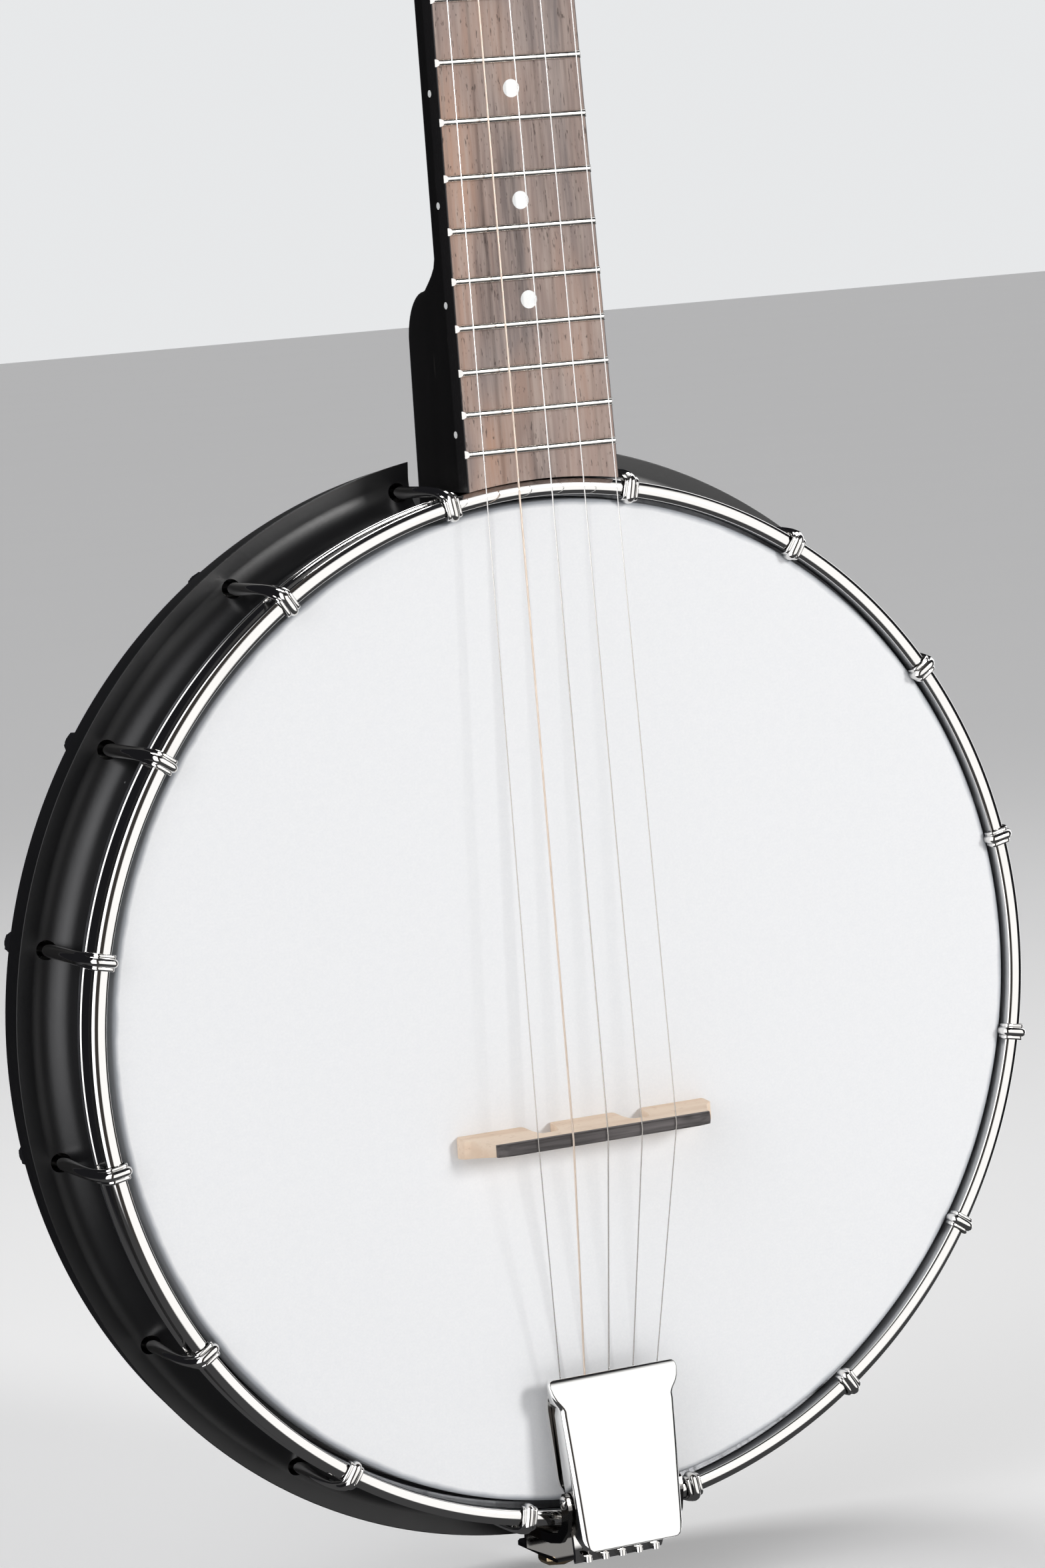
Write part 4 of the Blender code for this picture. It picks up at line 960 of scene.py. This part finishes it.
def string_route(number):
    tail_x, lip_x = (3 - number) * 5.4, (3 - number) * 7.75
    route = [mm(tail_x, -154.3, 7.2), mm(tail_x * 1.06, -144, 6.9), mm(lip_x, -103.1, 6.4)]
    route.append(string_point(number, BRIDGE_Z))
    if number == 5:
        route.append(string_point(5, fret_z(5) + FIFTH_PIP_RISE + 1.8 * MM))
        for step in range(25):
            turn = 2 * pi * step / 20 + 0.35
            x = (-18.8 - 0.35 * step / 20) * MM
            route.append(place(x, FIFTH_Z - 3.75 * MM * sin(turn), FIFTH_OUT + 3.75 * MM * cos(turn)))
        return route
    route.append(string_point(number, NUT_Z + 0.5 * MM))
    side = 1 if number <= 2 else -1
    up = TUNER_UPS[0] if number in (1, 4) else TUNER_UPS[1]
    x = HEADSTOCK_CENTRE + side * POST_SPREAD
    thick = STRING_DIAMETERS[number - 1] / MM
    radius = 2.75 + thick / 2
    for step in range(61):
        turn = 2 * pi * step / 20
        rise = 8.4 - 1.25 * thick * step / 20
        route.append(on_headstock(x - side * radius * cos(turn), up + radius * sin(turn), rise))
    return route


def build_strings():
    for number in range(1, 6):
        curve = bpy.data.curves.new(f"wire_{number}", "CURVE")
        curve.dimensions = "3D"
        curve.bevel_depth = STRING_DIAMETERS[number - 1] / 2
        curve.bevel_resolution = 2
        curve.use_fill_caps = True
        route = string_route(number)
        spline = curve.splines.new("POLY")
        spline.points.add(len(route) - 1)
        for point, spot in zip(spline.points, route):
            point.co = (*spot, 1)
        finish = "winding" if number == 4 else "string"
        curve.materials.append(FINISHES[finish][1])
        obj = bpy.data.objects.new(f"wire_{number}", curve)
        bpy.context.scene.collection.objects.link(obj)
        keep(obj, f"string_{number}")


def cover_front(z):
    """The cover's outer face: a lip that dips towards the head, blended softly into the flat."""
    flat = 11 + 4.5 * (z + 109.5) / -42.3
    lip = 11 - 0.4 * (z + 109.5) - 0.02 * max(z + 106, 0) ** 2
    return (flat + lip - sqrt((flat - lip) ** 2 + 1.1)) / 2


def build_cover():
    """The folded cover: flared lip, soft crease, sides folded down and rounded corners."""
    shape = [(-103.1, 18.9, 0.1), (-103.25, 19.5, 0.1), (-103.6, 19.95, 0.15), (-104.2, 20.3, 0.3)]
    shape += [(-105.2, 20.4, 0.5), (-107, 20.2, 1.3), (-108.6, 19.8, 2.4), (-109.8, 19.2, 3.4), (-110.8, 18.5, 4.2)]
    shape += [(-111.8, 18.05, 4.9), (-113.5, 18.1, 5.3), (-124, 17.5, 5.5), (-136, 16.8, 5.6), (-144, 16.4, 5.4)]
    shape += [(-148, 16.2, 3.8), (-149.6, 15.75, 2.8), (-150.6, 15.35, 2.1), (-151.3, 14.7, 1.6)]
    shape += [(-151.7, 13.9, 1.3), (-151.8, 13.4, 1.2)]
    loops = []
    sheet, bend = 0.9, 2
    for z, half, wall in shape:
        front = cover_front(z)
        foot = front - sheet - wall
        soft = min(bend, max(front - foot, 0.3) * 0.45)
        outer = [(-half, foot, 0), (-half, front, soft), (half, front, soft), (half, foot, 0)]
        within = half - sheet
        inner = [(within, foot, 0), (within, front - sheet, soft * 0.4)]
        inner += [(-within, front - sheet, soft * 0.4), (-within, foot, 0)]
        loops.append([mm(x, z, out) for x, out in fillet(outer + inner, 6)])
    bore = turned(on_hinge, HINGE_BORE, 20)
    body = "tailpiece_cover_body"
    piece("clamshell_cover", loft(loops), "cover_chrome", "tailpiece_cover", body, 50, cuts=[bore])


def sheet_along(path):
    """A bent sheet through (z, out, half width) stations in millimetres."""
    loops = []
    for index, (z, out, half) in enumerate(path):
        before, after = neighbours(path, index)
        along = Vector((after[0] - before[0], after[1] - before[1])).normalized()
        normal = Vector((-along.y, along.x)) * SHEET_HALF
        near, far = (z + normal.x, out + normal.y), (z - normal.x, out - normal.y)
        loops.append([mm(x, *edge) for x, edge in ((-half, near), (half, near), (half, far), (-half, far))])
    return loft(loops)


def build_tailpiece():
    build_cover()
    across = lambda z, out, x: mm(x, z, out)
    path = [(-108, 4.2, 18.2), (-109, 4.2, 19), (-112, 4.2, 19.2), (-132, 4.9, 17.7), (-134, 4.93, 17.2)]
    path += [(-137, 5, 15.2), (-150, 5, 14.4), (-154.4, 4.9, 14.1), (-156, 4.3, 13.8), (-157.2, 2, 13)]
    ear = fillet([(-141.5, 4.9, 0), (-134.5, 4.9, 0), (-135.6, 10.4, 2.2), (-140.4, 10.4, 2.2)], 6)
    extras = [prism(ear, x - SHEET_HALF, x + SHEET_HALF, across) for x in (-14.2, 14.2)]
    for index in range(5):
        x = (index - 2) * 5.4
        outline = fillet([(x - 1.15, 4, 0), (x + 1.15, 4, 0), (x + 1, 7.9, 0.97), (x - 1, 7.9, 0.97)], 6)
        extras.append(prism(outline, -156.5, -154.9, lambda a, out, z: mm(a, z, out)))
    piece("clamshell_base", sheet_along(path), "chrome", "tailpiece_base", sharp=30, joins=extras)
    pin = [(-19.2, 1.3), (-18.9, 1.9), (-18.6, 2), (-18.5, 0.95)]
    pin += [(-along, radius) for along, radius in pin[::-1]]
    piece("hinge_rivet", turned(on_hinge, pin, 20), "chrome", "tailpiece_hinge_pin", sharp=35)
    strap = [(-146.6, -12, 20.7), (-154.3, -12, 20.7), (-158.4, -12, 12.4), (-159.4, -12.15, 11)]
    strap += [(-160.1, -12.9, 10.6), (-160.4, -14, 10.4), (-160.4, -22, 10), (-160.4, -40, 9.2)]
    strap.append((-160.4, -42, 7.6))
    arm = [(-151.4, -12.2, 0), (-151.4, -1, 2), (-150.2, 5.6, 3), (-146, 10.2, 3), (-139.5, 11.6, 2.4)]
    arm += [(-135.4, 10.6, 1.6), (-135.4, 7.6, 1.2), (-140, 7.2, 2), (-144.8, 6.6, 2), (-147.6, 3.4, 2)]
    arm = fillet(arm + [(-148.6, -1, 2), (-148.6, -12.2, 0)], 5)
    arms = [prism(arm, side * 17.2, side * 18.4, across) for side in (-1, 1)]
    bores = turned(on_hinge, HINGE_BORE, 20)
    turned(on_rod, [(-150, 3.4), (-170, 3.4)], 24, bores)
    strap = sheet_along(strap)
    # the bracket uses chrome darkened as painted shade
    piece("hanger_bracket", strap, "shaded_chrome", "tailpiece_bracket", sharp=30, joins=arms, cuts=[bores])


# ---------------------------------------------------------------- studio


def area_light(name, spot, target, size, power, colour, spread=180):
    light = bpy.data.lights.new(name, "AREA")
    light.shape = "RECTANGLE"
    light.size, light.size_y = size
    light.energy = power
    light.spread = radians(spread)
    light.color = colour
    obj = bpy.data.objects.new(name, light)
    obj.location = spot
    obj.rotation_mode = "QUATERNION"
    obj.rotation_quaternion = (Vector(target) - Vector(spot)).to_track_quat("-Z", "Y")
    bpy.context.scene.collection.objects.link(obj)


def build_studio():
    floor = bmesh.new()
    bmesh.ops.create_grid(floor, x_segments=8, y_segments=8, size=9)
    bmesh.ops.translate(floor, verts=floor.verts, vec=(0, 0, CAD_BOX[0][2] - 0.002))
    floor = mesh_object("floor", floor, "floor", 30)
    floor.visible_glossy = False

    world = bpy.data.worlds.new("studio")
    bpy.context.scene.world = world
    world.use_nodes = True
    nodes, links = world.node_tree.nodes, world.node_tree.links
    nodes.clear()

    def node(kind, *inputs, **settings):
        made = nodes.new(f"ShaderNode{kind}")
        for name, value in settings.items():
            setattr(made, name, value)
        for socket, given in zip(made.inputs, inputs):
            if isinstance(given, bpy.types.NodeSocket):
                links.new(given, socket)
            else:
                socket.default_value = given
        return made.outputs

    def ramp(value, low, high):
        return node("MapRange", value, low, high, interpolation_type="SMOOTHSTEP")[0]

    def shade(*colour):
        return node("Background", (*colour, 1))[0]

    def blended(share, first, second):
        return node("MixShader", share, first, second)[0]

    ray = node("LightPath")
    x, y, height = node("SeparateXYZ", node("TexCoord")["Generated"])
    bearing = node("Math", x, node("Math", y, -1, operation="MULTIPLY")[0], operation="ARCTAN2")[0]
    # Mirrors and gloss see a dark room with a softbox about 60 degrees left of the front, one about 30 degrees right
    # of it, both dark overhead, and one behind on the right. Each wall begins between two bearings in radians.
    dark = shade(0.012, 0.012, 0.014)
    left = blended(ramp(height, 0.8, 0.92), shade(2, 2, 2.04), shade(0.1, 0.1, 0.1))
    right = blended(ramp(height, 0.48, 0.62), shade(1.25, 1.24, 1.23), shade(0.022, 0.022, 0.024))
    walls = ((-1.66, -1.52, left), (-0.66, -0.54, shade(0.05, 0.044, 0.04)), (-0.12, 0.02, right))
    walls += ((1.02, 1.14, dark), (1.75, 1.87, shade(1.4, 1.4, 1.42)), (2.32, 2.44, dark))
    room = dark
    for begin, full, wall in walls:
        room = blended(ramp(bearing, begin, full), room, wall)
    room = blended(ramp(height, -0.34, -0.46), room, shade(0.06, 0.06, 0.062))
    # The floor and matt surfaces see a dim even sky, and the camera sees a pale one.
    room = blended(ray["Is Diffuse Ray"], room, shade(0.12, 0.12, 0.122))
    room = blended(ray["Is Camera Ray"], room, shade(0.8, 0.81, 0.82))
    node("OutputWorld", room)

    area_light("key", (1.72, -3.12, 1.1), (0, 0, 0.02), (0.75, 0.95), 12.5, (1, 0.99, 0.98), 80)
    area_light("fill", (-1.35, -0.55, 0.45), (0, 0, 0.05), (0.5, 1.2), 2.5, (0.97, 0.98, 1))
    area_light("back", (0.2, 0.95, 1.8), (0, 0, 0.15), (0.9, 0.9), 7, (1, 1, 1), 110)


def build_camera():
    camera = bpy.data.objects.new("camera", bpy.data.cameras.new("camera"))
    camera.data.lens, camera.data.sensor_width = 132.13, 36
    right, up = Vector((0.88444, -0.4614, -0.06991)), Vector((0.11534, 0.07096, 0.99079))
    turn = Matrix((right, up, right.cross(up))).transposed()
    camera.matrix_world = Matrix.Translation((-0.73252, -1.41128, 0.24837)) @ turn.to_4x4()
    bpy.context.scene.collection.objects.link(camera)
    bpy.context.scene.camera = camera


GLOSS_BLACKS = (0.012, 0.012, 0.013), (0.01056, 0.01056, 0.01144)
# each finish's slot in the record, and its material
FINISHES = {
    "composite": ("composite", make_composite()),
    "head": ("head_film", make_head()),
    "neck": ("neck_wood", make_neck_finish()),
    "fingerboard": ("rosewood", make_fingerboard()),
    "maple": ("maple", make_maple()),
    "ebony": ("ebony", make_ebony()),
    "chrome": ("chrome", make_metal("chrome_plate", (0.8, 0.79, 0.775), 0.035, 0.1)),
    "cover_chrome": ("chrome", make_metal("chrome_cover", (0.86, 0.86, 0.85), 0.05, 0.12)),
    # the hanger bracket's chrome is darkened as painted shade, standing for the dark surroundings it reflects under
    # the pot
    "shaded_chrome": ("chrome", make_metal("painted_shade_plate", (0.17, 0.165, 0.16), 0.06, 0.14)),
    "flesh": ("flesh_metal", make_metal("flesh_hoop_grey", (0.36, 0.37, 0.39), 0.42, 0.55, 30, 0.2)),
    "fret": ("chrome", make_metal("fret_metal", (0.84, 0.82, 0.78), 0.16, 0.26, 120)),
    "steel": ("steel", make_metal("plain_steel", (0.62, 0.62, 0.63), 0.26, 0.38)),
    "string": ("steel", make_string()),
    "brass": ("brass_bolt", make_metal("bolt_brass", (0.72, 0.56, 0.36), 0.16, 0.32)),
    "winding": ("bronze_wound", make_winding()),
    "pearl": ("bone", make_plain("pearl_dots", (0.9, 0.9, 0.88), 0.28, (0.82, 0.84, 0.85), 500, 0.3)),
    "bone": ("bone", make_plain("bone_nut", (0.84, 0.8, 0.7), 0.38, (0.74, 0.69, 0.58), 180)),
    "gloss": ("black_plastic", make_plain("gloss_black", GLOSS_BLACKS[0], 0.14, GLOSS_BLACKS[1], 90, 0.5)),
    "floor": (None, make_floor()),
}

build_camera()
build_rim()
build_head()
build_hoops()
build_brackets()
build_rod()
build_neck()
build_fretboard()
build_nuts()
build_truss_cover()
for tuner_number, tuner_side, tuner_row in ((1, 1, 0), (2, 1, 1), (3, -1, 1), (4, -1, 0)):
    build_tuner(tuner_number, tuner_side, TUNER_UPS[tuner_row])
build_fifth_tuner()
build_bridge()
build_tailpiece()
build_strings()
build_studio()
bpy.context.scene.view_settings.view_transform = "Standard"
